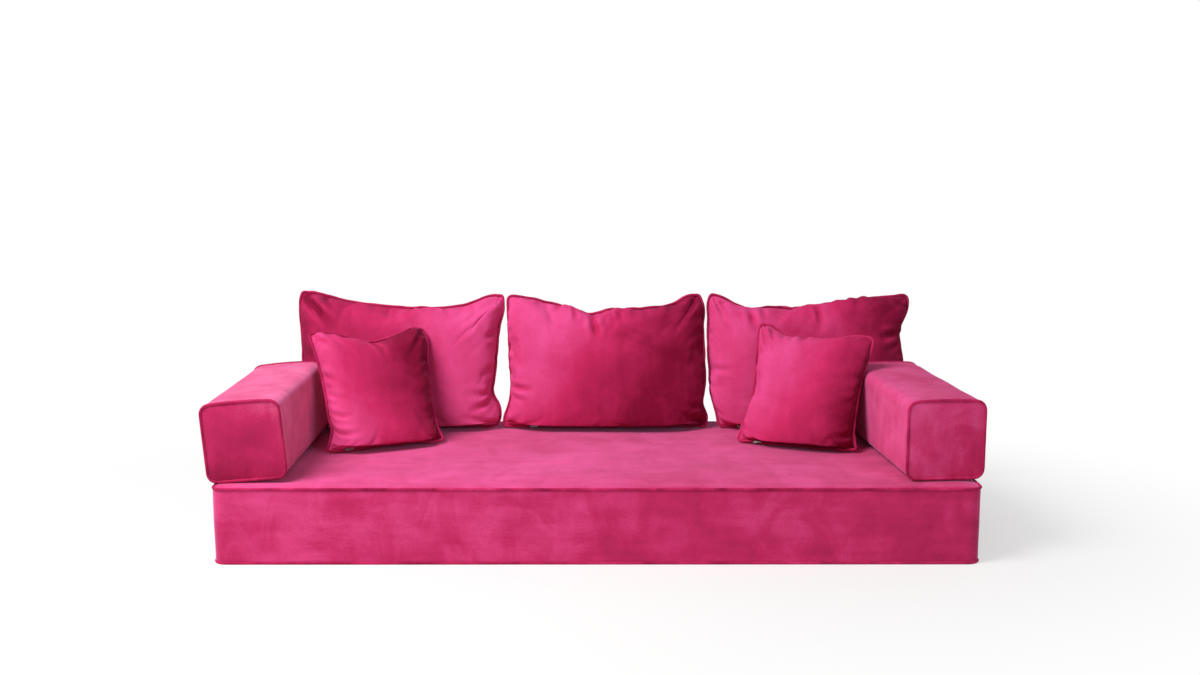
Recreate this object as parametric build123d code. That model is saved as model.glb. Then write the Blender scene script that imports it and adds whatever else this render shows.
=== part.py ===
from build123d import *
from math import cos, radians, sin, sqrt, tan
import os

# Majlis floor sofa: a seat mattress on the floor, two arm bolsters, three back cushions and two
# throw pillows, all in piped covers with zips.
# Frame: origin on the floor under the middle of the seat, +Z up, the front of the seat faces -Y,
# and +X points to the right of someone who looks at that front. All lengths are millimetres.

# Cover cloth, piping and clearances
cover = 2
piping_radius = 4
piping_proud = 3
flange_width = 8
flange_thickness = 1
resting_gap = 0.3
pad_gap = 0.5
foam_gap = 1.5

# Seat mattress
seat_length = 2000
seat_depth = 800
seat_height = 205
seat_corner = 32
seat_crown = 6
seat_crown_run = 100
seat_edge_run = 9
seat_foam_chamfer = 12
seat_zip_end = 140
crown_run_shares = (0.25, 0.5, 0.75, 1)
crown_rise_shares = (0.29, 0.56, 0.8, 1)
edge_rise_share = 0.8
seat_zip_height_share = 0.5

# Arm bolsters
arm_width = 206
arm_height = 206
arm_corner = 24
arm_crown = 4
arm_overhang = 15
arm_setback = 48
arm_back_gap = 5
arm_foam_chamfer = 9
arm_zip_end = 45
arm_zip_height = 38
left_arm_slip = -4
right_arm_slip = 9
left_arm_roll = 4.5
left_arm_yaw = 0.4
right_arm_roll = 0
right_arm_yaw = 4.6
arm_lift = 320
arm_lift_angle = 45

# Back cushions
back_height = 418
back_half_thickness = 76
back_lean = 15
back_side_draw = 26
back_top_draw = 50
back_ear_radius = 12
back_left_margin = 75
back_right_margin = 33
back_gap = 3
back_rear_margin = 56
back_zip_end = 85
back_lift = 450
back_lift_lean = 30
back_shoulder_share = 0.84

# Throw pillows
throw_width = 360
throw_height = 380
throw_half_thickness = 58
throw_lean = 34
throw_side_draw = 24
throw_top_draw = 38
throw_ear_radius = 10
throw_back_gap = 10
left_throw_arm_gap = 3
right_throw_arm_gap = 2.5
throw_zip_end = 55
throw_lift = 400
left_throw_yaw = 24
right_throw_yaw = -22
throw_draw_share = 0.85

# Crown of a knife-edge cushion: how far each level lies in from the seam, how high it stands, how
# much of the seam's draw it keeps, how far its lower edge bows out, and how round its corners are
level_inset_shares = (0, 0.09, 0.26, 0.5, 0.78)
level_rise_shares = (0, 0.32, 0.64, 0.88, 1)
level_draw_shares = (1, 0.75, 0.3, -0.15, -0.4)
level_bow_shares = (0, 0.1, 0.3, 0.5, 0.6)
level_corner_shares = (0, 0.08, 0.2, 0.26, 0.12)

# Inner pad of a knife-edge cushion
pad_edge_room = 20
pad_ear_radius = 26

# Zip chain, tape, slider and pull
tape_width = 22
tape_thickness = 0.8
chain_width = 3.2
chain_height = 1.6
chain_lift = 2.2
stop_length = 4
slot_width = 8.4
slider_length = 10
slider_width = 6.4
slider_plate = 1.2
slider_edge_radius = 1
slider_gap = 0.3
pin_radius = 0.6
post_width = 1
post_length = 2.4
post_cap = 0.4
pull_length = 18
pull_width = 4.4
pull_neck_width = 3
pull_thickness = 1
pull_eye_wall = 0.7
pull_swing = 170


def front_reach(half_thickness, height, lean):
    # how far the belly of a leaning cushion comes forward of its lower seam
    tilt = radians(lean)
    return max(half_thickness * rise_share / cos(tilt) - inset_share * height / 2 * tan(tilt)
               for inset_share, rise_share in zip(level_inset_shares, level_rise_shares))


# Values that follow from the sizes above
seat_top = seat_height + seat_crown
back_width = (seat_length - back_left_margin - back_right_margin - 2 * back_gap) / 3
back_seam_y = seat_depth / 2 - back_half_thickness - back_rear_margin
belly_reach = front_reach(back_half_thickness, back_height, back_lean)
arm_x = seat_length / 2 - piping_proud + arm_overhang - arm_width / 2
arm_front_y = -seat_depth / 2 + arm_setback
arm_length = seat_depth / 2 + back_seam_y - belly_reach - arm_back_gap - arm_setback
pin_height = chain_height + 2 * slider_gap + slider_plate + pin_radius + pull_eye_wall + slider_gap
pin_span = pull_neck_width + 2 * slider_gap


def save(node, shape):
    export_step(shape, "parts/" + node + ".step")


def tell_joint(name, place, direction, reach):
    # the joint's point and its axis at rest, for the record
    point = (place * Location((0, 0, 0))).position
    tip = (place * Pos(*direction)).position
    axis = (tip - point).normalized()
    at = [round(v, 4) for v in (point.X, point.Y, point.Z)]
    along = [round(v, 6) for v in (axis.X, axis.Y, axis.Z)]
    print("joint", name, "at", at, "axis", along, "reach", round(reach, 4))


# Flat outlines, drawn in X and Y


def side_line(start, end, inward):
    # a straight side, or an arc whose middle lies off the straight line by the vector inward
    middle = ((start[0] + end[0]) / 2 + inward[0], (start[1] + end[1]) / 2 + inward[1])
    if inward == (0, 0):
        return Line(start, end)
    return ThreePointArc(start, middle, end)


def cushion_outline(width, height, side_draw, top_draw, bottom_bow, corner):
    # a cushion seen from the front, standing on the X axis: positive draws pull the sides in
    half = width / 2
    low_left, low_right = (-half, 0), (half, 0)
    high_left, high_right = (-half, height), (half, height)
    sides = [
        side_line(low_left, low_right, (0, -bottom_bow)),
        side_line(low_right, high_right, (-side_draw, 0)),
        side_line(high_right, high_left, (0, -top_draw)),
        side_line(high_left, low_left, (side_draw, 0)),
    ]
    face = make_face(sides)
    return fillet(face.vertices(), corner)


def piping_along(outline_face, outset, flange):
    # round piping whose middle follows the outline, moved outwards by outset, with a flat flange
    # of that width inside the outline, where there is one
    path = offset(outline_face, amount=outset).wires()[0]
    across = Plane(origin=path @ 0, x_dir=(0, 0, 1), z_dir=path % 0)
    section = Circle(piping_radius)
    if flange > 0:
        towards_middle = (outline_face.center() - path @ 0).dot(across.y_dir)
        side = 1 if towards_middle > 0 else -1
        reach = outset + flange
        section = section + Pos(0, side * reach / 2) * Rectangle(flange_thickness, reach)
    return sweep(across * section, path=path)


# Zips, built lying down: X along the chain, Y across it, and Z away from the cover


def zip_chain(length, with_tape):
    chain = Box(length, chain_width, chain_height, align=(Align.MIN, Align.CENTER, Align.MIN))
    stop = Box(stop_length, slider_width, chain_height, align=(Align.MIN, Align.CENTER, Align.MIN))
    near_stop = Pos(-stop_length, 0, 0) * stop
    far_stop = Pos(length, 0, 0) * stop
    solid = chain + near_stop + far_stop
    if with_tape:
        tape = Box(length + 2 * stop_length, tape_width, tape_thickness,
                   align=(Align.MIN, Align.CENTER, Align.MAX))
        solid = solid + Pos(-stop_length, 0, 0) * tape
    return solid


def zip_slider():
    height = chain_height + slider_gap + slider_plate
    body = Box(slider_length, slider_width, height, align=(Align.CENTER, Align.CENTER, Align.MIN))
    body = fillet(body.edges().filter_by(Axis.Z), slider_edge_radius)
    channel = Box(slider_length, chain_width + 2 * slider_gap, chain_height + slider_gap,
                  align=(Align.CENTER, Align.CENTER, Align.MIN))
    body = Pos(0, 0, slider_gap) * (body - channel)
    base = slider_gap + height
    post_height = pin_height - base + pin_radius + post_cap
    post = Box(post_length, post_width, post_height, align=(Align.CENTER, Align.CENTER, Align.MIN))
    post_y = (pin_span + post_width) / 2
    pin = Rot(X=90) * Cylinder(pin_radius, pin_span + post_width)
    posts = Pos(0, post_y, base) * post + Pos(0, -post_y, base) * post
    return body + posts + Pos(0, 0, pin_height) * pin


def zip_pull():
    # the pull lies along the chain, with its eye round the slider's pin
    eye_radius = pin_radius + slider_gap + pull_eye_wall
    eye = Rot(X=90) * Cylinder(eye_radius, pull_neck_width)
    bore = Rot(X=90) * Cylinder(pin_radius + slider_gap, pull_width)
    neck = Box(pull_length / 2, pull_neck_width, pull_thickness,
               align=(Align.MIN, Align.CENTER, Align.CENTER))
    leaf = Box(pull_length / 2, pull_width, pull_thickness,
               align=(Align.MIN, Align.CENTER, Align.CENTER))
    leaf = fillet(leaf.edges().filter_by(Axis.Z), pull_width / 3)
    leaf = Pos(pull_length / 2, 0, 0) * leaf
    return Pos(0, 0, pin_height) * (eye + neck + leaf - bore)


def save_zip(name, place, length, with_tape):
    # place carries the lying zip to where it is sewn in; the slider starts at its closed end
    slider_x = slider_length / 2 + slider_gap
    slider_place = place * Pos(slider_x, 0, 0)
    save(name + ("_zip_tape" if with_tape else "_zip_chain"), place * zip_chain(length, with_tape))
    save(name + "_zip_slider", slider_place * zip_slider())
    save(name + "_zip_pull", slider_place * zip_pull())
    travel = length - slider_length - 2 * slider_gap
    tell_joint(name + "_zip_slide", slider_place, (slider_length, 0, 0), travel)
    tell_joint(name + "_pull_swing", slider_place * Pos(0, 0, pin_height), (0, -pull_length, 0),
               pull_swing)


# Seat mattress


def seat_outline(inset):
    return RectangleRounded(seat_length - 2 * piping_proud - 2 * inset,
                            seat_depth - 2 * piping_proud - 2 * inset, seat_corner - inset)


def crown_steps():
    # how far in from the seat's wall, and how high, each step of its crown lies
    edge_height = seat_height - piping_radius * (1 - edge_rise_share)
    steps = [(seat_edge_run, edge_height)]
    for run_share, rise_share in zip(crown_run_shares, crown_rise_shares):
        run = seat_edge_run + seat_crown_run * run_share
        steps.append((run, edge_height + (seat_top - edge_height) * rise_share))
    return steps


def seat_crown_shape(inset, drop):
    # the crowned top, from the middle of the top piping to the flat middle of the seat
    sections = [Pos(0, 0, seat_height - piping_radius - drop) * seat_outline(inset)]
    for run, height in crown_steps():
        sections.append(Pos(0, 0, height - drop) * crown_outline(inset + run))
    return loft(sections, ruled=True)


def crown_outline(inset):
    # corners stay round as the outline shrinks towards the crown
    return RectangleRounded(seat_length - 2 * piping_proud - 2 * inset,
                            seat_depth - 2 * piping_proud - 2 * inset, seat_corner)


def build_seat():
    piping_inset = piping_radius - piping_proud
    ring = piping_along(seat_outline(0), -piping_inset, 0)
    top_ring = Pos(0, 0, seat_height - piping_radius) * ring
    bottom_ring = Pos(0, 0, piping_radius) * ring
    save("seat_top_piping", top_ring)
    save("seat_bottom_piping", bottom_ring)

    wall_height = seat_height - 2 * piping_radius
    band = extrude(seat_outline(0) - seat_outline(cover), amount=wall_height)
    band = Pos(0, 0, piping_radius) * band - top_ring - bottom_ring
    zip_length = seat_length - 2 * seat_zip_end
    zip_height = seat_height * seat_zip_height_share
    slot = Box(zip_length + 2 * stop_length, seat_corner, slot_width)
    rear_inside = seat_depth / 2 - piping_proud - cover
    band = band - Pos(0, rear_inside, zip_height) * slot
    save("seat_side_band", band)

    bottom = extrude(seat_outline(piping_radius), amount=cover) - bottom_ring
    save("seat_bottom_panel", bottom)
    top = seat_crown_shape(0, 0) - seat_crown_shape(cover, cover) - top_ring
    save("seat_top_panel", top)

    foam_inset = cover + foam_gap
    foam_drop = cover + pad_gap
    foam_wall = seat_height - piping_radius - foam_drop - cover
    foam = Pos(0, 0, cover) * extrude(seat_outline(foam_inset), amount=foam_wall)
    foam = chamfer(foam.edges().group_by(Axis.Z)[0], seat_foam_chamfer)
    crown = seat_crown_shape(foam_inset, foam_drop)
    foam = foam + crown
    save("seat_foam_block", foam - top_ring)

    rear = Plane(origin=(-zip_length / 2, rear_inside, zip_height), x_dir=(1, 0, 0), z_dir=(0, 1, 0))
    save_zip("seat", rear.location, zip_length, True)


# Arm bolsters, built with the front end at Y = 0 and the underside at Z = 0


def arm_section(inset):
    # the section drawn flat, with its crown along the top
    section = cushion_outline(arm_width - 2 * inset, arm_height - 2 * inset, 0, -arm_crown, 0,
                              arm_corner - inset)
    return Pos(0, inset, 0) * section


def build_arm(name, side, place):
    # side is -1 for the left bolster and 1 for the right one
    stand = Rot(X=90)
    piping_inset = piping_radius - piping_proud
    ring = stand * piping_along(arm_section(0), -piping_inset, 0)
    front_ring = Pos(0, piping_inset, 0) * ring
    rear_ring = Pos(0, arm_length - piping_inset, 0) * ring
    rings = front_ring + rear_ring
    save(name + "_piping", place * rings)

    sleeve = stand * extrude(arm_section(0) - arm_section(cover), amount=-arm_length)
    sleeve = sleeve - front_ring - rear_ring
    zip_length = arm_length - 2 * arm_zip_end
    slot_x = side * (arm_width / 2 - cover)
    slot = Box(arm_corner, zip_length + 2 * stop_length, slot_width)
    sleeve = sleeve - Pos(slot_x, arm_length / 2, arm_zip_height) * slot
    trim = Box(2 * arm_width, piping_radius, 2 * arm_height)
    front_trim = Pos(0, piping_inset - piping_radius / 2, arm_height / 2) * trim
    rear_trim = Pos(0, arm_length - piping_inset + piping_radius / 2, arm_height / 2) * trim
    sleeve = sleeve - front_trim - rear_trim
    save(name + "_sleeve", place * sleeve)

    panel = stand * extrude(arm_section(0), amount=-cover)
    save(name + "_front_panel", place * (panel - front_ring))
    rear_panel = Pos(0, arm_length - cover, 0) * panel
    save(name + "_rear_panel", place * (rear_panel - rear_ring))

    foam_room = cover + foam_gap
    foam = stand * extrude(arm_section(foam_room), amount=-(arm_length - 2 * foam_room))
    foam = Pos(0, foam_room, -foam_gap) * foam
    foam = chamfer(foam.faces().filter_by(Axis.Y).edges(), arm_foam_chamfer)
    save(name + "_foam_block", place * foam)

    outside = Plane(origin=(slot_x, arm_zip_end, arm_zip_height), x_dir=(0, 1, 0),
                    z_dir=(side, 0, 0))
    save_zip(name, place * outside.location, zip_length, True)


def arm_rest_height(lean, outward_turn):
    # how high the middle of a bolster's underside lies when the bolster leans outwards, and the
    # piping of either end rests on the piping along the seat's edge or on the seat's crown
    roll = radians(lean)
    clear = resting_gap + piping_proud
    heights = []
    for middle_x in (arm_x, arm_x + arm_length * sin(radians(outward_turn))):
        edge_x = seat_length / 2 - piping_radius - middle_x
        reach = piping_radius + clear
        foot_x = edge_x * cos(roll) + (edge_x * sin(roll) + reach) * tan(roll)
        past_flat = max(foot_x - (arm_width / 2 - arm_corner), 0)
        if past_flat < arm_corner:
            reach = sqrt((arm_corner + reach) ** 2 - past_flat ** 2) - arm_corner
            heights.append(seat_height - piping_radius + (edge_x * sin(roll) + reach) / cos(roll))
        for run, height in crown_steps():
            step_x = seat_length / 2 - piping_proud - run - middle_x
            if step_x < arm_width / 2:
                heights.append(height + (step_x * sin(roll) + clear) / cos(roll))
    return max(heights)


def build_arms():
    # the left bolster leans outwards over the seat's edge
    left_z = arm_rest_height(left_arm_roll, left_arm_yaw)
    left_place = Pos(-arm_x, arm_front_y + left_arm_slip, left_z) * Rot(Z=left_arm_yaw)
    left_place = left_place * Rot(Y=-left_arm_roll)
    build_arm("left_arm", -1, left_place)

    # the right bolster lies flat on the crown, with its rear end turned in
    right_z = arm_rest_height(right_arm_roll, -right_arm_yaw)
    right_place = Pos(arm_x, arm_front_y + right_arm_slip, right_z) * Rot(Z=right_arm_yaw)
    right_place = right_place * Rot(Y=right_arm_roll)
    build_arm("right_arm", 1, right_place)

    out = cos(radians(arm_lift_angle))
    up = sin(radians(arm_lift_angle))
    tell_joint("left_arm_lift", Pos(*left_place.position), (-out, 0, up), arm_lift)
    tell_joint("right_arm_lift", Pos(*right_place.position), (out, 0, up), arm_lift)


# Knife-edge cushions, built lying down: the lower seam on the X axis, the top towards +Y, and
# the front half towards +Z


def crowned_half(width, height, rise, side_draw, top_draw, ear_radius):
    # a short lower bow keeps each level above the seam closed and round
    sections = []
    levels = zip(level_inset_shares, level_rise_shares, level_draw_shares, level_bow_shares,
                 level_corner_shares)
    for inset_share, rise_share, draw_share, bow_share, corner_share in levels:
        inset = inset_share * height / 2
        corner = ear_radius * (1 - inset_share) + corner_share * height / 2
        level = cushion_outline(width - 2 * inset, height - 2 * inset, side_draw * draw_share,
                                top_draw * draw_share, side_draw * bow_share, corner)
        sections.append(Pos(0, inset, rise * rise_share) * level)
    return loft(sections)


def build_cushion(name, place, width, height, half_thickness, side_draw, top_draw, ear_radius,
                  zip_end):
    outline = cushion_outline(width, height, side_draw, top_draw, 0, ear_radius)
    half_flange = flange_thickness / 2
    rise = half_thickness - half_flange

    outer = crowned_half(width, height, rise, side_draw, top_draw, ear_radius)
    inner = crowned_half(width - 2 * cover, height - 2 * cover, rise - cover, side_draw, top_draw,
                         ear_radius)
    front = Pos(0, 0, half_flange) * (outer - Pos(0, cover, 0) * inner)
    rear = mirror(front, about=Plane.XY)
    save(name + "_front_panel", place * front)
    save(name + "_rear_panel", place * rear)

    pad_rise = half_thickness - cover - pad_gap
    pad_half = crowned_half(width - 2 * pad_edge_room, height - 2 * pad_edge_room, pad_rise,
                            side_draw, top_draw, pad_ear_radius)
    pad_half = Pos(0, pad_edge_room, 0) * pad_half
    save(name + "_inner_pad", place * (pad_half + mirror(pad_half, about=Plane.XY)))

    save(name + "_piping", place * piping_along(outline, piping_radius, flange_width))

    zip_length = width - 2 * zip_end
    chain_z = piping_radius + slider_gap / 2
    zip_place = place * Pos(-zip_length / 2, -piping_radius + chain_lift, chain_z)
    save_zip(name, zip_place, zip_length, False)


def standing_place(x, y, yaw, lean):
    # the cushion stands on the piping of its lower seam, leaning back
    z = seat_top + resting_gap + piping_radius * (1 + cos(radians(lean)))
    return Pos(x, y, z) * Rot(Z=yaw) * Rot(X=90 - lean)


def build_back_cushions():
    pitch = back_width + back_gap
    first_x = -seat_length / 2 + back_left_margin + back_width / 2
    width = back_width - 2 * piping_radius
    rise_lean = radians(back_lift_lean)
    for index, name in enumerate(("left_back", "middle_back", "right_back")):
        place = standing_place(first_x + index * pitch, back_seam_y, 0, back_lean)
        build_cushion(name, place, width, back_height, back_half_thickness, back_side_draw,
                      back_top_draw, back_ear_radius, back_zip_end)
        tell_joint(name + "_lift", Pos(*place.position), (0, sin(rise_lean), cos(rise_lean)),
                   back_lift)


def build_throw_pillows():
    # each pillow stands between an arm bolster and a back cushion: its upper inner ear just clears
    # the cushion's shoulder, and its outer side just clears the bolster's upper edge
    lean = radians(throw_lean)
    recess = throw_height * cos(lean) * tan(radians(back_lean))
    shoulder = back_half_thickness * back_shoulder_share / cos(radians(back_lean))
    shoulder_y = back_seam_y + recess - shoulder
    slide = arm_height * tan(lean)
    half = throw_width / 2
    waist = half - throw_side_draw * throw_draw_share
    for name, side, yaw, arm_turn, arm_gap in (
            ("left_throw", -1, left_throw_yaw, -left_arm_yaw, left_throw_arm_gap),
            ("right_throw", 1, right_throw_yaw, right_arm_yaw, right_throw_arm_gap)):
        turn = radians(abs(yaw))
        reach = throw_height * sin(lean) * cos(turn) + half * sin(turn)
        y = shoulder_y - reach - throw_back_gap
        edge_y = y - half * sin(turn) + slide * cos(turn)
        edge_x = arm_x - arm_width / 2 - (edge_y - arm_front_y) * tan(radians(arm_turn)) - arm_gap
        x = side * (edge_x - waist * cos(turn) - slide * sin(turn))
        place = standing_place(x, y, yaw, throw_lean)
        build_cushion(name, place, throw_width - 2 * piping_radius, throw_height,
                      throw_half_thickness, throw_side_draw, throw_top_draw, throw_ear_radius,
                      throw_zip_end)
        tell_joint(name + "_lift", Pos(*place.position), (0, 0, throw_lift), throw_lift)


os.makedirs("parts", exist_ok=True)
build_seat()
build_arms()
build_back_cushions()
build_throw_pillows()
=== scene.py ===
import math
import bpy
import numpy as np
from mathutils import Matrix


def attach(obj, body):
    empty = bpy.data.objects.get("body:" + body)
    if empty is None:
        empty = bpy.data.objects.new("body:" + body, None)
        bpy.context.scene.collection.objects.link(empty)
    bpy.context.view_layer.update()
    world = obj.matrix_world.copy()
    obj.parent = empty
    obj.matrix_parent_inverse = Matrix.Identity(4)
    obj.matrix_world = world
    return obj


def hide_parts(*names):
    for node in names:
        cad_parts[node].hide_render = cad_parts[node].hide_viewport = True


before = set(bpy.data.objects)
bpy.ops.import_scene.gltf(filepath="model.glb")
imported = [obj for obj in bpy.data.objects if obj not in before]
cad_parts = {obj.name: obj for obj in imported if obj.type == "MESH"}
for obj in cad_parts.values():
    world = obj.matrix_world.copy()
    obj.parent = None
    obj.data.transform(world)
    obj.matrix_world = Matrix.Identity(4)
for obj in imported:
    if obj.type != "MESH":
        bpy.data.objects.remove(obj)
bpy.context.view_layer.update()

# Majlis floor sofa: a seat mattress, two arm bolsters, three back cushions and two throw pillows in
# piped velvet covers. Lengths are metres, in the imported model's frame: the front faces -Y.

scene = bpy.context.scene

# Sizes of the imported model. Piping is the radius of the round piping, whose middle lies a little
# inside the flat sides of a boxed cover.
PIPING = 0.004
PIPING_INSET = 0.001
RESTING_GAP = 0.0003
SEAT_HALF_LENGTH, SEAT_HALF_DEPTH, SEAT_HEIGHT, SEAT_CROWN = 0.997, 0.397, 0.205, 0.006
SEAT_CORNER = 0.032
SEAT_TOP = SEAT_HEIGHT + SEAT_CROWN
ARM_HALF, ARM_HEIGHT, ARM_LENGTH, ARM_CORNER = 0.103, 0.206, 0.57376, 0.024
BACK_HALF, BACK_HEIGHT, BACK_BELLY, BACK_LEAN = 0.3103, 0.418, 0.076, 15
THROW_HALF, THROW_HEIGHT, THROW_BELLY, THROW_LEAN = 0.176, 0.380, 0.058, 34

# Zips: the gap in the velvet that shows the teeth, where each zip lies in its cover, and its parts
SLOT_HALF, SLOT_EDGE, SLOT_SLACK, SLOT_DEPTH = 0.0042, 0.0008, 0.0001, 0.0023
SLOT_BEYOND_STOPS = 0.0045
SEAT_ZIP_HALF, SEAT_ZIP_RISE = 0.860, SEAT_HEIGHT / 2
ARM_ZIP_MARGIN, ARM_ZIP_RISE = 0.045, 0.038
SEAT_ZIP_FLAT, ARM_ZIP_FLAT = 0.02, 0.016
ZIP_SUNK = 0.002
TOOTH_PITCH, TOOTH_WIDTH, TOOTH_HEIGHT = 0.0016, 0.0019, 0.0015
TOOTH_STAGGER, TOOTH_SHARE = 0.38, 0.85
STOP_LENGTH, STOP_HALF_WIDTH, STOP_HEIGHT = 0.004, 0.0032, 0.0016
TAPE_HALF_WIDTH, TAPE_GAP, TAPE_THICK = 0.011, 0.0002, 0.0008

# Rows of vertices: closer together beside a seam, and never closer than a least distance
BESIDE_SEAM = [0, 0.0025, 0.005, 0.008, 0.012, 0.018, 0.026]
LEAST_ROW = 0.0012
SEAT_STEP, BAND_STEP, ARM_STEP, ARM_LENGTH_STEP = 0.0085, 0.009, 0.0075, 0.0085

# Piping: spacing and sides of its rings, and how uneven the velvet makes it
PIPING_STEP, PIPING_SIDES = 0.006, 12
PIPING_UNEVEN, PIPING_UNEVEN_LENGTH = 0.02, 0.03

# Foam blocks inside the seat and the bolsters
FOAM_INSET = 0.006
SEAT_FOAM_HALF_HEIGHT, SEAT_FOAM_MIDDLE, SEAT_FOAM_CORNER = 0.095, 0.1015, 0.03
SEAT_FOAM_STEP, SEAT_FOAM_ROWS = 0.05, 0.04
ARM_FOAM_STEP, ARM_FOAM_ROWS, ARM_FOAM_CORNER = 0.03, 0.05, 0.02


# Places and small sums


def turned(yaw, lean):
    """the turn of a cushion that is drawn lying down and stands leaning back, in degrees"""
    a, b = math.radians(yaw), math.radians(90 - lean)
    about_z = np.array([[math.cos(a), -math.sin(a), 0], [math.sin(a), math.cos(a), 0], [0, 0, 1]])
    about_x = np.array([[1, 0, 0], [0, math.cos(b), -math.sin(b)], [0, math.sin(b), math.cos(b)]])
    return about_z @ about_x


def placed(points, at, turn):
    """points that were drawn in a piece's own directions, in their place on the sofa"""
    return points @ turn.T + at


def rolled(yaw, roll):
    """the turn of a bolster about Z and then about its own length"""
    a, b = math.radians(yaw), math.radians(roll)
    about_z = np.array([[math.cos(a), -math.sin(a), 0], [math.sin(a), math.cos(a), 0], [0, 0, 1]])
    about_y = np.array([[math.cos(b), 0, math.sin(b)], [0, 1, 0], [-math.sin(b), 0, math.cos(b)]])
    return about_z @ about_y


def smooth_step(value, low, high):
    """0 below low, 1 above high, and an even rise between them"""
    t = np.clip((value - low) / (high - low), 0, 1)
    return t * t * (3 - 2 * t)


def waves(points, length, seed, count=9):
    """a smooth uneven height between about -1 and 1 at each point"""
    shorter, longer = 0.7, 1.6
    dice = np.random.default_rng(seed)
    total = np.zeros(len(points))
    for _ in range(count):
        way = dice.normal(size=3)
        way /= np.linalg.norm(way)
        total += np.sin(points @ way * 2 * np.pi / (length * dice.uniform(shorter, longer))
                        + dice.uniform(0, 2 * np.pi))
    return total / math.sqrt(count)


def profile(reach, table):
    """reads a height from a table of (distance, height)"""
    table = np.array(table)
    return np.interp(reach, table[:, 0], table[:, 1])


# Meshes


def add_mesh(name, points, faces, uv=None):
    """a smooth-shaded object at the origin; uv has a place for each corner of each face"""
    mesh = bpy.data.meshes.new(name)
    mesh.from_pydata(np.asarray(points, float).tolist(), [], faces)
    mesh.polygons.foreach_set("use_smooth", np.ones(len(mesh.polygons), bool))
    if uv is not None:
        layer = mesh.uv_layers.new(name="along")
        layer.data.foreach_set("uv", np.asarray(uv, float).ravel())
    mesh.update()
    obj = bpy.data.objects.new(name, mesh)
    scene.collection.objects.link(obj)
    return obj


def points_of(mesh):
    """the places of a mesh's vertices"""
    flat = np.zeros(len(mesh.vertices) * 3)
    mesh.vertices.foreach_get("co", flat)
    return flat.reshape(-1, 3)


def evaluated(obj):
    """the object's mesh with its modifiers applied, which replaces its own mesh"""
    graph = bpy.context.evaluated_depsgraph_get()
    made = bpy.data.meshes.new_from_object(obj.evaluated_get(graph), depsgraph=graph)
    obj.modifiers.clear()
    obj.data = made
    obj.data.name = obj.name
    return obj


def refined(obj, seam):
    """one level of subdivision, applied, with the seam kept sharp"""
    on_seam = np.zeros(len(obj.data.vertices), bool)
    on_seam[seam] = True
    ends = np.zeros(len(obj.data.edges) * 2, int)
    obj.data.edges.foreach_get("vertices", ends)
    sharp = on_seam[ends.reshape(-1, 2)].all(1).astype(np.float32)
    crease = obj.data.attributes.new("crease_edge", "FLOAT", "EDGE")
    crease.data.foreach_set("value", sharp)
    smoother = obj.modifiers.new("smoother", "SUBSURF")
    smoother.levels = smoother.render_levels = 1
    return evaluated(obj)


def mark_light_and_shade(obj, marks):
    """notes painted light (up to 1) and painted shade (down to -1) at each point, for the velvet to
    read
    """
    layer = obj.data.attributes.new(LIGHT_AND_SHADE_MARK, "FLOAT", "POINT")
    layer.data.foreach_set("value", marks.astype(np.float32))


def finish_piece(obj, body, nodes, material):
    """gives a piece its material and its body, and hides the solids it stands for"""
    obj.data.materials.clear()
    obj.data.materials.append(material)
    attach(obj, body)
    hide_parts(*nodes)
    return obj


# Grids of vertices


def grid_faces(grid):
    """the four-cornered faces of a grid of vertex numbers"""
    return np.stack([grid[:-1, :-1], grid[1:, :-1], grid[1:, 1:], grid[:-1, 1:]],
                    -1).reshape(-1, 4)


def facing_back(faces):
    """the same faces, facing the other way"""
    return faces[:, [0, 3, 2, 1]]


def edge_loop(grid):
    """the outer rows of a grid as one closed line"""
    return np.concatenate([grid[:, 0], grid[-1, 1:], grid[-2::-1, -1], grid[0, -2:0:-1]])


def rounded_grid(us, vs, corner):
    """grid points with round corners, and how far in from the edge each one lies"""
    tighter = 0.6  # the corners of the rows further in get this much tighter
    u, v = np.meshgrid(us, vs, indexing="ij")
    half_u, half_v = us[-1], vs[-1]
    inset = np.minimum(half_u - abs(u), half_v - abs(v))
    radius = np.maximum(corner - inset * tighter, 0.0)
    far_u = abs(u) - (half_u - inset - radius)
    far_v = abs(v) - (half_v - inset - radius)
    inside = (far_u > 0) & (far_v > 0) & (radius > 0)
    longest = np.maximum(far_u, far_v)
    pull = np.where(inside, longest / np.maximum(np.hypot(far_u, far_v), 1e-9), 1)
    new_u = np.where(inside, np.sign(u) * (abs(u) - far_u + far_u * pull), u)
    new_v = np.where(inside, np.sign(v) * (abs(v) - far_v + far_v * pull), v)
    return new_u, new_v, inset


# Boxed covers: a seat or bolster is two crowned end panels with a band between them


def stations(half, step, extra=()):
    """places from -half to half, close together near both ends, with some of their own"""
    near = BESIDE_SEAM
    count = round(2 * (half - near[-1]) / step)
    inner = np.linspace(-half + near[-1], half - near[-1], count + 1)
    places = [-half + n for n in near[:-1]] + list(inner) + [half - n for n in near[:-1]]
    for value in extra:
        places = [p for p in places if abs(p - value) > LEAST_ROW] + [value]
    return np.array(sorted(places))


def slot_rows(middle):
    """the rows that a zip's slot needs: its two lips and the edges of its floor"""
    return [middle + s for s in (-SLOT_HALF - SLOT_EDGE, -SLOT_HALF, SLOT_HALF,
                                 SLOT_HALF + SLOT_EDGE)]


def with_zip_slot(push, side, from_zip, in_reach, flat_reach):
    """how far a band stands out, now sunk in the zip's slot and flat for some way beside it"""
    in_slot = side & (from_zip < SLOT_HALF + SLOT_SLACK) & in_reach
    near_zip = side & (from_zip < flat_reach) & ~in_slot
    push = np.where(near_zip, PIPING_INSET, push)
    return np.where(in_slot, PIPING_INSET - SLOT_DEPTH, push)


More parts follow.
